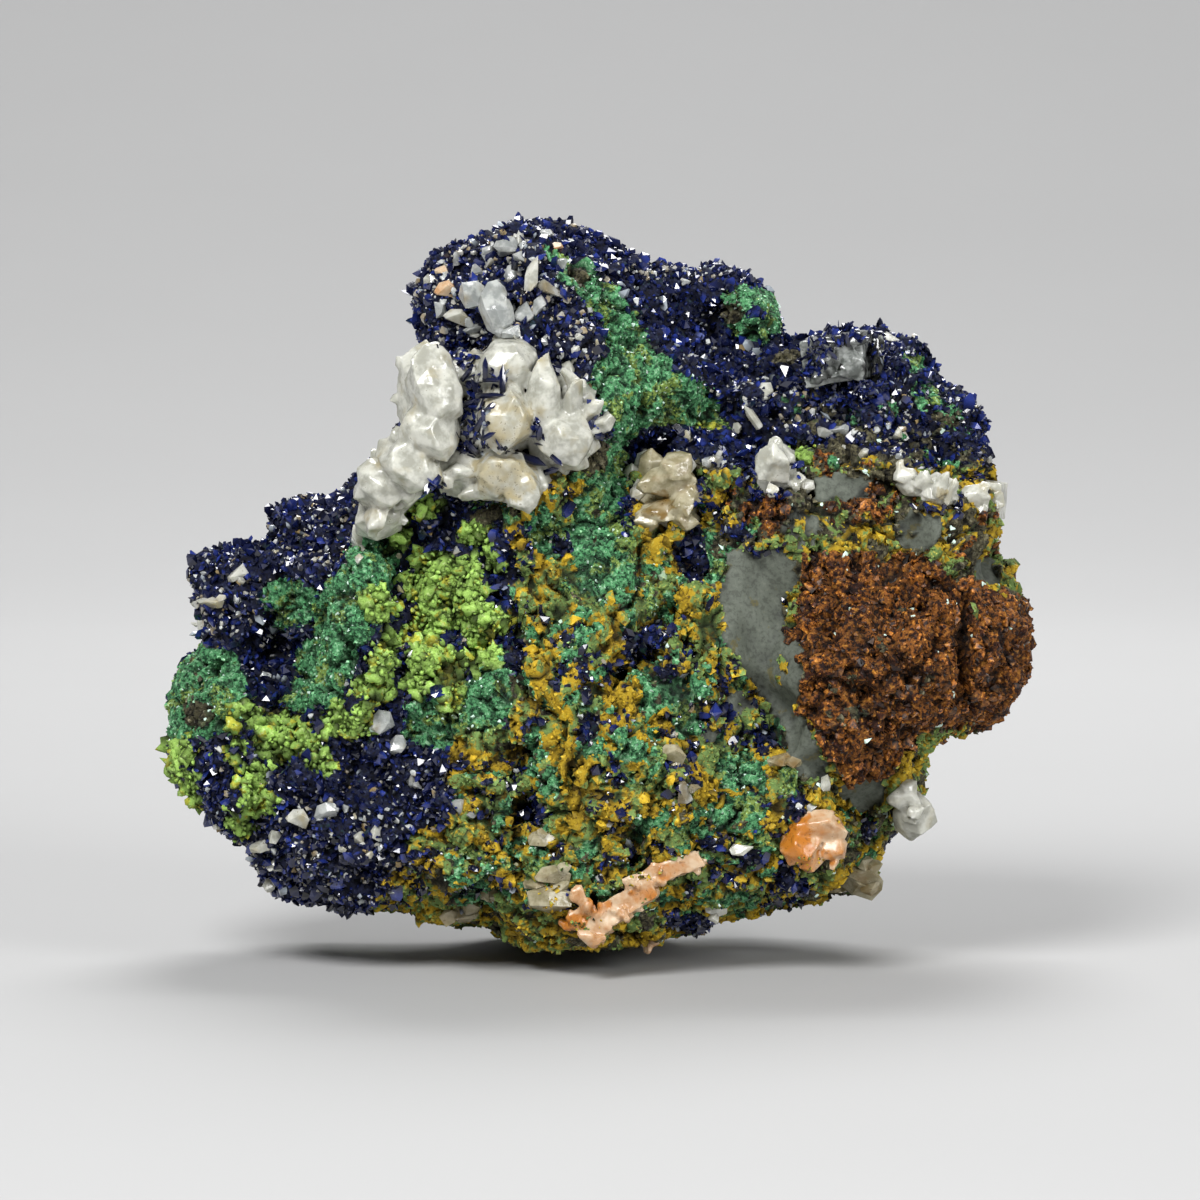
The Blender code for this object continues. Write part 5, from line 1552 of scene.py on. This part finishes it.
CLUSTERS: tuple[Cluster, ...] = (
    Cluster("white_quartz_cluster", "quartz", MILKY, (
        *crystals(E, (-16.9, 58.8, 5.8, 8.4, 0.6, 4), (-17.4, 54.4, 6.2, 6.4, 0.6),
                  (-19.4, 51.2, 6.6, 6, 0.6, 30, 0, 1), (-22.4, 48.6, 5.2, 5.6, 0.3, 34, 0, 1)),
        Crystal(C, -23, 45.4, 3.4, 4.6, 0.2, 12, 0, 1),
        Crystal(E, -9.4, 61, 6.4, 4.8, 0.4),
        *crystals(C, (-10.6, 62.2, 3.4, 2.2, 0.6, -20), (-7.3, 62.8, 2.6, 2.8, 0.8, 20)),
        Crystal(E, -5.7, 56.4, 4, 9, 0.4, 4),
        Crystal(C, -2.7, 57.6, 4.2, 4.8, 0.5, 22, 0, 1),
        Crystal(E, -3.9, 53.4, 5.6, 5.6, 0.5),
        *crystals(C, (-1.6, 54.5, 4.8, 3.2, 0.4, -8, 10, 1), (-4.6, 59.4, 2.4, 3, 0.5, -10),
                  (-3.2, 51.2, 4.2, 2.8, 0.5, 10, 0, 1)),
        *crystals(P, (-0.8, 56.4, 1.8, 3.2, 0.3, 58, 20), (-3.4, 60.2, 1.6, 2.6, 0.3, 12, 20)),
        *crystals(E, (-9.7, 55.8, 6, 7.2), (-10, 49.6, 6.8, 4.8, 0.3, 0, 0, 1)),
        *crystals(C, (-14.6, 49.6, 3.8, 2.6, 0.4, 10, 0, 1), (-13.4, 47.8, 3, 2, 0.3, 0, 0, 1))),
        nodes=("quartz_cluster",), crumbs=0.07, crumb=(1, 2.2), stains=spots(ROCK, (-9.6, 55.7, 5.8, 7.2, 0, 0.75),
            (-9.9, 49.4, 6.6, 4.8, 0, 0.8), (-15.8, 48.8, 3, 2.4, 0, 0.5), (-9.8, 60.4, 2.6, 2, 0, 0.5)), grain=0.17,
        keep=0.24),
    Cluster("clear_peak_quartz", "quartz", CLEAR, (
        Crystal(E, -10.6, 66.8, 3.6, 5.4, 0.9, 0, 10, 0, 0.1),
        *crystals(C, (-7.8, 66, 2, 3, 0.5, -10, 0, 0, 0.1), (-13.2, 67.8, 3.3, 3.2, 0.5, -20)),
        Crystal(E, -9.6, 73, 2.3, 2, 0.4, 0, 0, 0, 0.1),
        *crystals(C, (-9.2, 70.1, 1.9, 2.1, 0.4, 0, 0, 0, 0.1), (-4.9, 68.8, 4, 2.2, 0.2, 10, 0, 0, 0.5),
                  (-8.1, 72, 1.8, 1.3, 0.4, 0, 0, 0, 0.1), (-12.2, 70.6, 2.4, 2.2, 0.4, 20, 0, 1, 0.1),
                  (-11.4, 72.6, 1.8, 1.4, 0.4, 0, 0, 1, 0.1), (-14.8, 71.8, 1.4, 1.6, 0.4, 0, 0, 0, 0.1),
                  (-6.2, 66.8, 1.8, 2.4, 0.4, 10, 0, 1, 0.1), (-9.2, 64.2, 2.6, 1.8, 0.5, 0, 0, 1, 0.1),
                  (-12.8, 64.6, 2.4, 1.8, 0.5, 0, 0, 1, 0.2), (-16.6, 66.6, 1.6, 2, 0.4),
                  (-4, 71.2, 1.6, 1.4, 0.3, 0, 0, 0, 0.1), (-5.6, 74.4, 1.4, 1, 0.3, 0, 0, 0, 0.1),
                  (-12.4, 74, 1.4, 1, 0.3, 0, 0, 0, 0.1))),
        nodes=("quartz_peak_cluster",), hollow=True),
    Cluster("white_peak_quartz", "quartz", MILKY, crystals(
        C, (-14.7, 65.7, 2.7, 2, 0.6, 15), (-7, 69.9, 1.4, 5.2, 0.6, 8, 10), (-8.4, 73.7, 1.1, 1.8, 0.5, 10),
        (-12.6, 64, 1.6, 1, 0.4), (-10.6, 63.6, 1.3, 0.9, 0.4), (-8.6, 63.8, 1.4, 1, 0.4, 30), (-2.7, 73.5, 1.3, 1.1),
        (-2, 64, 1.4, 1.3), (-2.5, 62.4, 1.1, 1.1), (-0.3, 63.1, 0.8, 1), (-17.6, 69.4, 1.4, 1.6, 0.4),
        (-16.1, 70.7, 1.3, 0.9))),
    Cluster("stained_peak_quartz", "quartz", CALCITE, crystals(
        C, (-15.8, 68.5, 2.4, 2.2, 0.5), (-16.3, 70.6, 1.4, 1.2, 0.4), (-14.2, 60, 1.4, 1.6, 0.6), (-4.5, 73, 1.4, 1),
        (-14.5, 53.7, 1.3, 1.6, 0.5))),
    Cluster("centre_quartz", "quartz", BEIGE, crystals(
        C, (7, 48.6, 6.2, 4.6, 0.6, 0, 0, 3, 0.6), (6.6, 45.8, 5.4, 3.8, 0.5, 0, 0, 3, 1)),
        nodes=("quartz_plate",), stains=spots(ROCK, (6, 46.4, 3, 2.6, 0, 0.9), (8.6, 45, 2, 1.6, 0, 0.7)),
        grain=0.16),
    Cluster("centre_quartz_tips", "quartz", MILKY, crystals(
        C, (4.7, 50.8, 2.6, 3.2, 0.8, -5, 20, 1), (3.4, 49.6, 2, 2.6, 0.7, -30, 20),
        (8.9, 50.2, 2.2, 1.8, 0.8, 0, 0, 1), (4, 47.6, 2, 2.2, 0.7, 0, 0, 1))),
    Cluster("wedge_quartz", "quartz", MILKY, crystals(
        C, (17.7, 50.4, 3.8, 5.8, 0.8, -6, 15, 2), (20, 49, 2.8, 1.8, 0.5, -15, 0, 1)),
        nodes=("quartz_wedge",), grain=0.16),
    Cluster("smoky_crystal_block", "smoky", SMOKY, crystals(
        C, (25.9, 60.5, 3, 4.2, 0.5, 0, 0, 0, 0.1), (23.2, 59.9, 2.6, 2, 0.4, 0, 0, 1, 0.5),
        (23, 62, 3, 2.3, 0.3, 0, 0, 1, 0.8), (26.3, 63.2, 2.4, 1.6, 0.2, 0, 0, 0, 0.4),
        (28.5, 61.4, 2.2, 5.2, 0.3, 6, 0, 0, 1)),
        nodes=("smoky_crystal",), stains=spots(ROCK, (28.6, 61.3, 2.8, 7, 6), (22.8, 61.4, 3.6, 4.6, 0, 0.85),
            (25.6, 63.6, 5, 1.8, 0, 0.8)), grain=0.15),
    Cluster("ribbed_quartz", "quartz", MILKY, crystals(
        C, (33.2, 48.8, 1.9, 3.2, 0.5, 10, 20, 1), (35, 48.4, 1.5, 4.2, 0.6, 18, 20),
        (36, 47.6, 1.3, 3.6, 0.6, 20, 20), (31.4, 49.4, 2.8, 2, 0.3, 0, 0, 2)),
        nodes=("quartz_right_cluster",), stains=spots(ROCK, (34.7, 47.6, 1.1, 2.2)), grain=0.14, rough=0.08),
    Cluster("right_edge_quartz", "quartz", MILKY, crystals(
        C, (38.4, 47.2, 3.6, 3.4, 0.6, 6, 10, 2), (40.8, 46.8, 1.9, 2.8, 0.2, 12, 0, 1)),
        nodes=("quartz_right_block",), grain=0.14, rough=0.08),
    Cluster("corner_quartz", "quartz", MILKY, crystals(
        C, (31.2, 16, 3.6, 3.8, 0.4, 20, 0, 3), (32.4, 14.9, 1.8, 2.4, 0.3, 40, 10, 1)),
        nodes=("quartz_corner",), grain=0.16),
    Cluster("low_corner_quartz", "quartz", BEIGE, crystals(
        C, (27, 8.4, 4.2, 3, 0.4, 20, 0, 3, 0.4), (24.6, 7.2, 2.6, 2, 0.3, 0, 0, 1, 0.4)),
        nodes=("quartz_low_corner",)),
    Cluster("low_centre_quartz", "quartz", BEIGE, crystals(
        C, (-4.8, 8.3, 3.8, 2.6, 0.5, 0, 0, 2), (-6.6, 7.6, 2.2, 1.8, 0.4, 0, 0, 1)),
        nodes=("quartz_low_centre",)),
    Cluster("small_white_quartz", "quartz", MILKY, (
        *crystals(C, (-31, 14.2, 2.4, 2.4, 0.7, 14), (-34.9, 11.3, 2.2, 1.9, 0.5), (-33.5, 12.2, 1.6, 1.6, 0.5),
                  (-32.8, 9.4, 2.2, 2, 0.5, 30, 0, 1), (-34, 7.4, 2, 1.5, 0.4), (-22.9, 12.8, 1.4, 2.2, 0.5, 20, 20),
                  (-24.6, 12.2, 1.5, 1.7, 0.4), (-26.3, 11.3, 1.4, 1.2, 0.4), (-23.8, 10.5, 1.2, 1, 0.4),
                  (-25, 43.2, 2.3, 2.9, 0.5, 0, 0, 1), (-24.7, 40.9, 1.1, 1.1, 0.5),
                  (-37.2, 39.4, 2.6, 1.7, 0.4, -25, 0, 1), (-40, 36.5, 2.8, 1.9, 0.4, 15, 0, 1),
                  (-41, 34, 1.7, 2.6, 0.3, 0, 0, 1)),
        Crystal(P, 15.6, 55.6, 0.9, 3, 0.5, -35, 20),
        *crystals(C, (17, 58.2, 1.6, 2.1, 0.5), (14, 54.4, 1.2, 1.2, 0.4), (8.8, 53.8, 1.4, 2, 0.4),
                  (27.2, 51.7, 1.5, 1.4, 0.4), (30.5, 53.8, 1.5, 1.4, 0.4), (30, 64.1, 2.4, 1.1, 0.3, 20),
                  (11.7, 4.8, 2.8, 1.5, 0.4, 0, 0, 1), (14.5, 11, 2.8, 1.3, 0.4), (-39.2, 13.4, 1.5, 0.9),
                  (23.2, 17.8, 1.2, 2.4), (8, 10.2, 1.8, 1.2, 0.4)))),
    Cluster("small_clear_quartz", "quartz", CLEAR, crystals(
        C, (-28.2, 15, 2.4, 2.8, 0.5, -10, 35, 1, 0.1), (26, 60.6, 2.2, 3.2, 0.9, 12, 20, 0, 0.1),
        (25, 59.4, 1.8, 1.5, 0.9, 0, 0, 0, 0.1), (-22.4, 24, 2.4, 2.9, 0.7, 0, 0, 0, 0.1),
        (-20.9, 21.8, 2.5, 2.1, 0.5, 20, 0, 0, 0.1), (-19, 18.1, 1.9, 1.9, 0.1, 5, 0, 0, 0.1),
        (-14.3, 15.3, 3, 2.4, -0.2, 25, 0, 1, 0.1), (23.4, 54.2, 2.6, 1.9, 0.4, 0, 0, 1),
        (11.6, 50.8, 2.7, 1.9, 0.5, 0, 0, 1, 0.4), (8.6, 17, 2.6, 2.6, -0.2, 0, 0, 1, 0.5),
        (21.8, 15.3, 1.4, 1.2, 0.4, 0, 0, 0, 0.1))),
    Cluster("small_tan_quartz", "quartz", BEIGE, crystals(
        C, (7.4, 20.8, 3, 2.4, 0.5, 15, 0, 1, 0.4), (18.6, 20.2, 2.8, 1.9, 0.4, 0, 0, 1, 0.5),
        (-6.2, 12, 3.6, 1.7, 0.5, 0, 0, 1, 0.6), (-10.8, 6.3, 3, 1.6, 0.4, 0, 0, 2, 0.6),
        (-14, 4.5, 4.4, 1.9, 0.4, 0, 0, 2, 0.6), (-20.5, 37.9, 0.8, 1.2, 0.4))),
    Cluster("orange_calcite_block", "calcite", CALCITE, crystals(
        C, (22.8, 12.9, 5.6, 5.2, -1.4, 15, 0, 1), (20.6, 11.6, 4.2, 6.4, -1.2, -20, 0, 1, 1),
        (21.6, 9.8, 3.6, 3.2, -1, 10, 0, 0, 0.8), (24, 11, 2.8, 3.4, -1, 30, 0, 1)),
        nodes=("calcite_block",), stains=spots(ROCK, (20, 11.6, 4.4, 7.4, 10), (23.4, 10.4, 2, 1.6, 0, 0.8)),
        grain=0.15, hollow=True),
    Cluster("orange_calcite_slabs", "calcite", CALCITE, crystals(
        C, (-2.3, 6.3, 1.6, 2.9, 0.4, 10, 0, 0, 0.4), (-3.5, 3.3, 2, 1.6, 0.4, 40, 0, 0, 1),
        (-0.5, 1.7, 2.8, 1.3, 0.4, 0, 0, 1, 0.4), (5.2, 1.5, 2, 1.3, 0.4, 0, 0, 1, 0.4)),
        nodes=("calcite_slabs",), crumbs=0.4, crumb=(0.7, 1.8), stains=spots(ROCK, (-3.4, 3.2, 4.6, 2.6, 30),
            (4.4, 6.6, 3, 1.8, 20, 0.8), (-0.4, 5, 3, 2.4, 0, 0.8), (7.4, 9, 3.6, 1.6, 20, 0.7)), grain=0.15,
        rough=0.26),
    Cluster("azurite_prisms", "azurite", AZURITE_CRYSTALS, crystals(
        P, (-11.8, 60.6, 0.6, 2.2, 0.7, 0, 10), (-10, 59.3, 0.7, 3.3, 0.8), (-11, 59.3, 0.5, 2.1, 0.8, 90),
        (-11.2, 57.7, 0.6, 3.1, 0.8, 88), (-13.4, 56.9, 0.7, 3, 0.8, 72, 10), (-7, 51.1, 0.9, 3.3, 0.7, 110, 10),
        (-5, 50, 0.7, 1.8, 0.7, 70, 20), (-4.4, 51, 0.6, 1.6, 0.7, 130, 20), (-12.2, 55, 0.7, 2.2, 0.7, 30, 30),
        (-12.8, 58.4, 0.7, 2.4, 0.7, -20, 20), (-13.6, 60, 0.6, 2, 0.7, 40, 20), (-11.4, 53.6, 0.6, 1.8, 0.7, 60, 30),
        (-13.2, 52.4, 0.7, 2, 0.7, -40, 20), (-6.2, 53.9, 0.6, 1.6, 0.7, 10, 30)),
        rests=("white_quartz_cluster", "smoky_crystal_block", "wedge_quartz", "centre_quartz",
            "right_edge_quartz", "ribbed_quartz", "clear_peak_quartz"), fringe=spots(AZURITE,
            (22.4, 62, 2.6, 4, 0, 0.9), (24.8, 63.8, 4.6, 1.8), (26.6, 58.6, 5, 1.4), (28.8, 60.6, 1.8, 5.6, 0, 0.5),
            (26.4, 64.4, 4, 1), (24.6, 57.6, 7, 1.6), (29.6, 60.6, 1.4, 5), (21.2, 60.2, 1.4, 3),
            (17.6, 47.4, 4.6, 1.4), (15.4, 49.4, 1.4, 3), (20.4, 50.2, 1.6, 1.6), (3, 45.6, 1.8, 4.6),
            (10.6, 47.6, 1.4, 4), (36.9, 46.8, 1, 3.2), (33.4, 50.8, 4.4, 1.2), (38.8, 49.4, 3.6, 1.2),
            (-9, 68.4, 2, 2, 0, 0.4), (34, 46.2, 3.6, 0.9), (-13.8, 62, 2.4, 2.8), (-12.9, 58.6, 1.6, 4.6, 0, 0.7),
            (-12.7, 55.8, 3, 3.8), (-13.3, 52.8, 3.6, 2.6), (-6.3, 54.2, 1.2, 3.2), (-11, 59.6, 3, 2.4, 0, 0.4),
            (-17, 48, 2.4, 2.2), (-9.4, 52, 3.4, 1.2, 0, 0.5), (-15.6, 63.2, 3, 1.6))),
    Cluster("ochre_dust", "rock", GrainFinish("ochre_dust", OCHRE), (),
        rests=("orange_calcite_slabs", "orange_calcite_block", "low_centre_quartz", "low_corner_quartz",
            "small_tan_quartz"), fringe=spots(OCHRE, (-5, 4.6, 2, 4, 0, 0.6), (-1.4, 3.4, 4.6, 1.4, 30, 0.6),
            (1, 7.2, 5, 1.4, 26, 0.6), (4.6, 8.4, 3.6, 1.2, 0, 0.6), (5.2, 5.2, 2, 1.6, 0, 0.6),
            (-3.2, 9.2, 2, 1.2, 0, 0.5), (22, 9.6, 4.4, 1.4, 0, 0.5), (24.8, 15, 1.6, 3, 0, 0.5),
            (-5.6, 7, 3.4, 1, 0, 0.5))),
)

GRAINS: tuple[Granules, ...] = (
    Granules("malachite_crust", MALACHITE,
             GrainFinish("green_malachite", MALACHITE, 0.34, 0.0, 0.3, 0.6, 0.22, 0.05, 0.9), "malachite",
             (Tier((0.25, 0.62), 8.0, 0.33, 0),), 61, ("malachite_saddle", "malachite_rib", "green_ball")),
    Granules("grape_clusters", GRAPES, GrainFinish("yellow_green_grapes", GRAPES, 0.7, 0.12, 0.25, 0.2), "grapes",
             (Tier((1.0, 1.8), 1.7, 0.82, 2, 0.0, 1.2), Tier((0.35, 0.7), 5.0, 0.42, 1, -0.6, 0.9)), 62,
             ("grapes_main", "grapes_top", "grapes_low")),
    Granules("ochre_lumps", OCHRE, GrainFinish("ochre_crust", OCHRE), "rock",
             (Tier((0.9, 1.8), 0.6, 1.0, 0, 0.15, 0.0, 11), Tier((0.36, 0.85), 4.2, 0.43, 0)), 63),
    Granules("rock_grains", ROCK, GrainFinish("olive_rock", ROCK, 0.6, 0.0, 0.3, 0.4, 0.1, 0.03, 1.2), "rock",
             (Tier((0.35, 0.9), 4.5, 0.42, 0),), 65),
    Granules("limonite_grains", LIMONITE, GrainFinish("rusty_limonite", LIMONITE, 0.5, 0.0, 0.3, 0.4, 0.06, 0.01, 1.5),
             "limonite", (Tier((0.9, 1.8), 0.9, 0.95, 0, 0.15, 0.0, 11), Tier((0.28, 0.75), 6.5, 0.35, 0)), 64,
             ("limonite_boss",)),
)


QUARTZ_HOMES = spots(AZURITE, (-11, 68, 15, 13, 0, 0.9), (-1, 62, 6, 10, 0, 0.7), (8, 71, 12, 3, 0, 0.6),
                     (24, 56, 22, 9, -10, 0.35), (-39, 37, 8, 8, 0, 0.7), (-28, 43, 12, 6, 0, 0.4),
                     (-26, 12, 22, 12, 0, 0.35), (-19, 18, 8, 6, 0, 0.4))

GRITS = (Grit("clear_quartz_grit", GRIT, QUARTZ_HOMES, Tier((0.35, 1.1), 1.6, 0.6, 0, 0.0, 0.0, 11), 91),
         Grit("white_quartz_grit", MILKY, QUARTZ_HOMES, Tier((0.3, 0.8), 0.6, 0.7, 0, 0.0, 0.0, 11), 92))


# ------------------------------------------------------------------------------------------- the studio


@dataclass(frozen=True)
class Lamp:
    """A soft box that faces the specimen's middle."""

    name: str
    place: tuple[float, float, float]
    size: float
    watts: float
    aim: tuple[float, float, float] = (0.0, 0.0, 36.0)

    def build(self) -> None:
        """Sets up the lamp."""
        data = bpy.data.lights.new(self.name, "AREA")
        data.shape = "DISK"
        data.size = self.size * MM
        data.energy = self.watts
        lamp = link(self.name, data)
        lamp.location = Vector(self.place) * MM
        aim = Vector(self.aim) * MM - lamp.location
        lamp.rotation_euler = aim.to_track_quat("-Z", "Y").to_euler()


@dataclass(frozen=True)
class Studio:
    """The pale floor that rises into a round backdrop, the room's light and the lamps."""

    radius: float = 2100.0
    bend: float = 1600.0
    height: float = 2000.0
    rings: int = 40
    spokes: int = 96
    floor: PlainFinish = PlainFinish("pale_floor", (0.45, 0.45, 0.45))
    room: Colour = (0.95, 0.97, 1.0)
    room_strength: float = 0.13
    lamps: tuple[Lamp, ...] = (
        Lamp("key_lamp", (-200.0, -480.0, 470.0), 300.0, 5.2),
        Lamp("fill_lamp", (460.0, -440.0, 260.0), 260.0, 2.4),
        Lamp("rear_lamp", (60.0, 360.0, 520.0), 380.0, 2.4),
        Lamp("backdrop_lamp", (0.0, 500.0, 900.0), 500.0, 10.0, (0.0, 1500.0, 150.0)),
    )

    def build(self) -> None:
        """Sets up the studio."""
        floor = link("floor", self.bowl())
        floor.data.materials.append(self.floor.build())
        world = bpy.data.worlds.new("room")
        bpy.context.scene.world = world
        world.use_nodes = True
        light = world.node_tree.nodes["Background"]
        light.inputs["Color"].default_value = (*self.room, 1.0)
        light.inputs["Strength"].default_value = self.room_strength
        for lamp in self.lamps:
            lamp.build()
        bpy.context.scene.view_settings.view_transform = "Standard"

    def bowl(self) -> bpy.types.Mesh:
        """A flat disc whose rim bends up into a wall."""
        profile = [(self.radius - self.bend, 0.0)]
        for step in range(1, self.rings + 1):
            angle = math.pi / 2 * step / self.rings
            profile.append((self.radius - self.bend * (1 - math.sin(angle)), self.bend * (1 - math.cos(angle))))
        profile.append((self.radius, self.height))
        bm = bmesh.new()
        rows = [[bm.verts.new((r * MM * math.cos(turn), r * MM * math.sin(turn), z * MM))
                 for turn in np.linspace(0, 2 * math.pi, self.spokes, endpoint=False)] for r, z in profile]
        bm.faces.new(rows[0])
        for low, high in zip(rows, rows[1:]):
            for i in range(self.spokes):
                bm.faces.new((low[i], high[i], high[i - 1], low[i - 1]))
        bmesh.ops.recalc_face_normals(bm, faces=bm.faces)
        mesh = mesh_of(bm, "floor")
        mesh.shade_smooth()
        return mesh


def main() -> None:
    """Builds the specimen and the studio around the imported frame."""
    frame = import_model()
    view = View()
    view.build()
    Studio().build()
    ground = Ground(frame, view)
    ground.build()
    LOG.info("rock_body: %d triangles", len(ground.corners))
    Azurite(ground).build()
    for crust in GRAINS:
        crust.build(ground)
    for grit in GRITS:
        grit.build(ground)
    for cluster in CLUSTERS:
        cluster.build(ground)
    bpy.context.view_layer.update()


if __name__ == "__main__":
    logging.basicConfig(level=logging.INFO, format="%(name)s %(message)s")
    main()
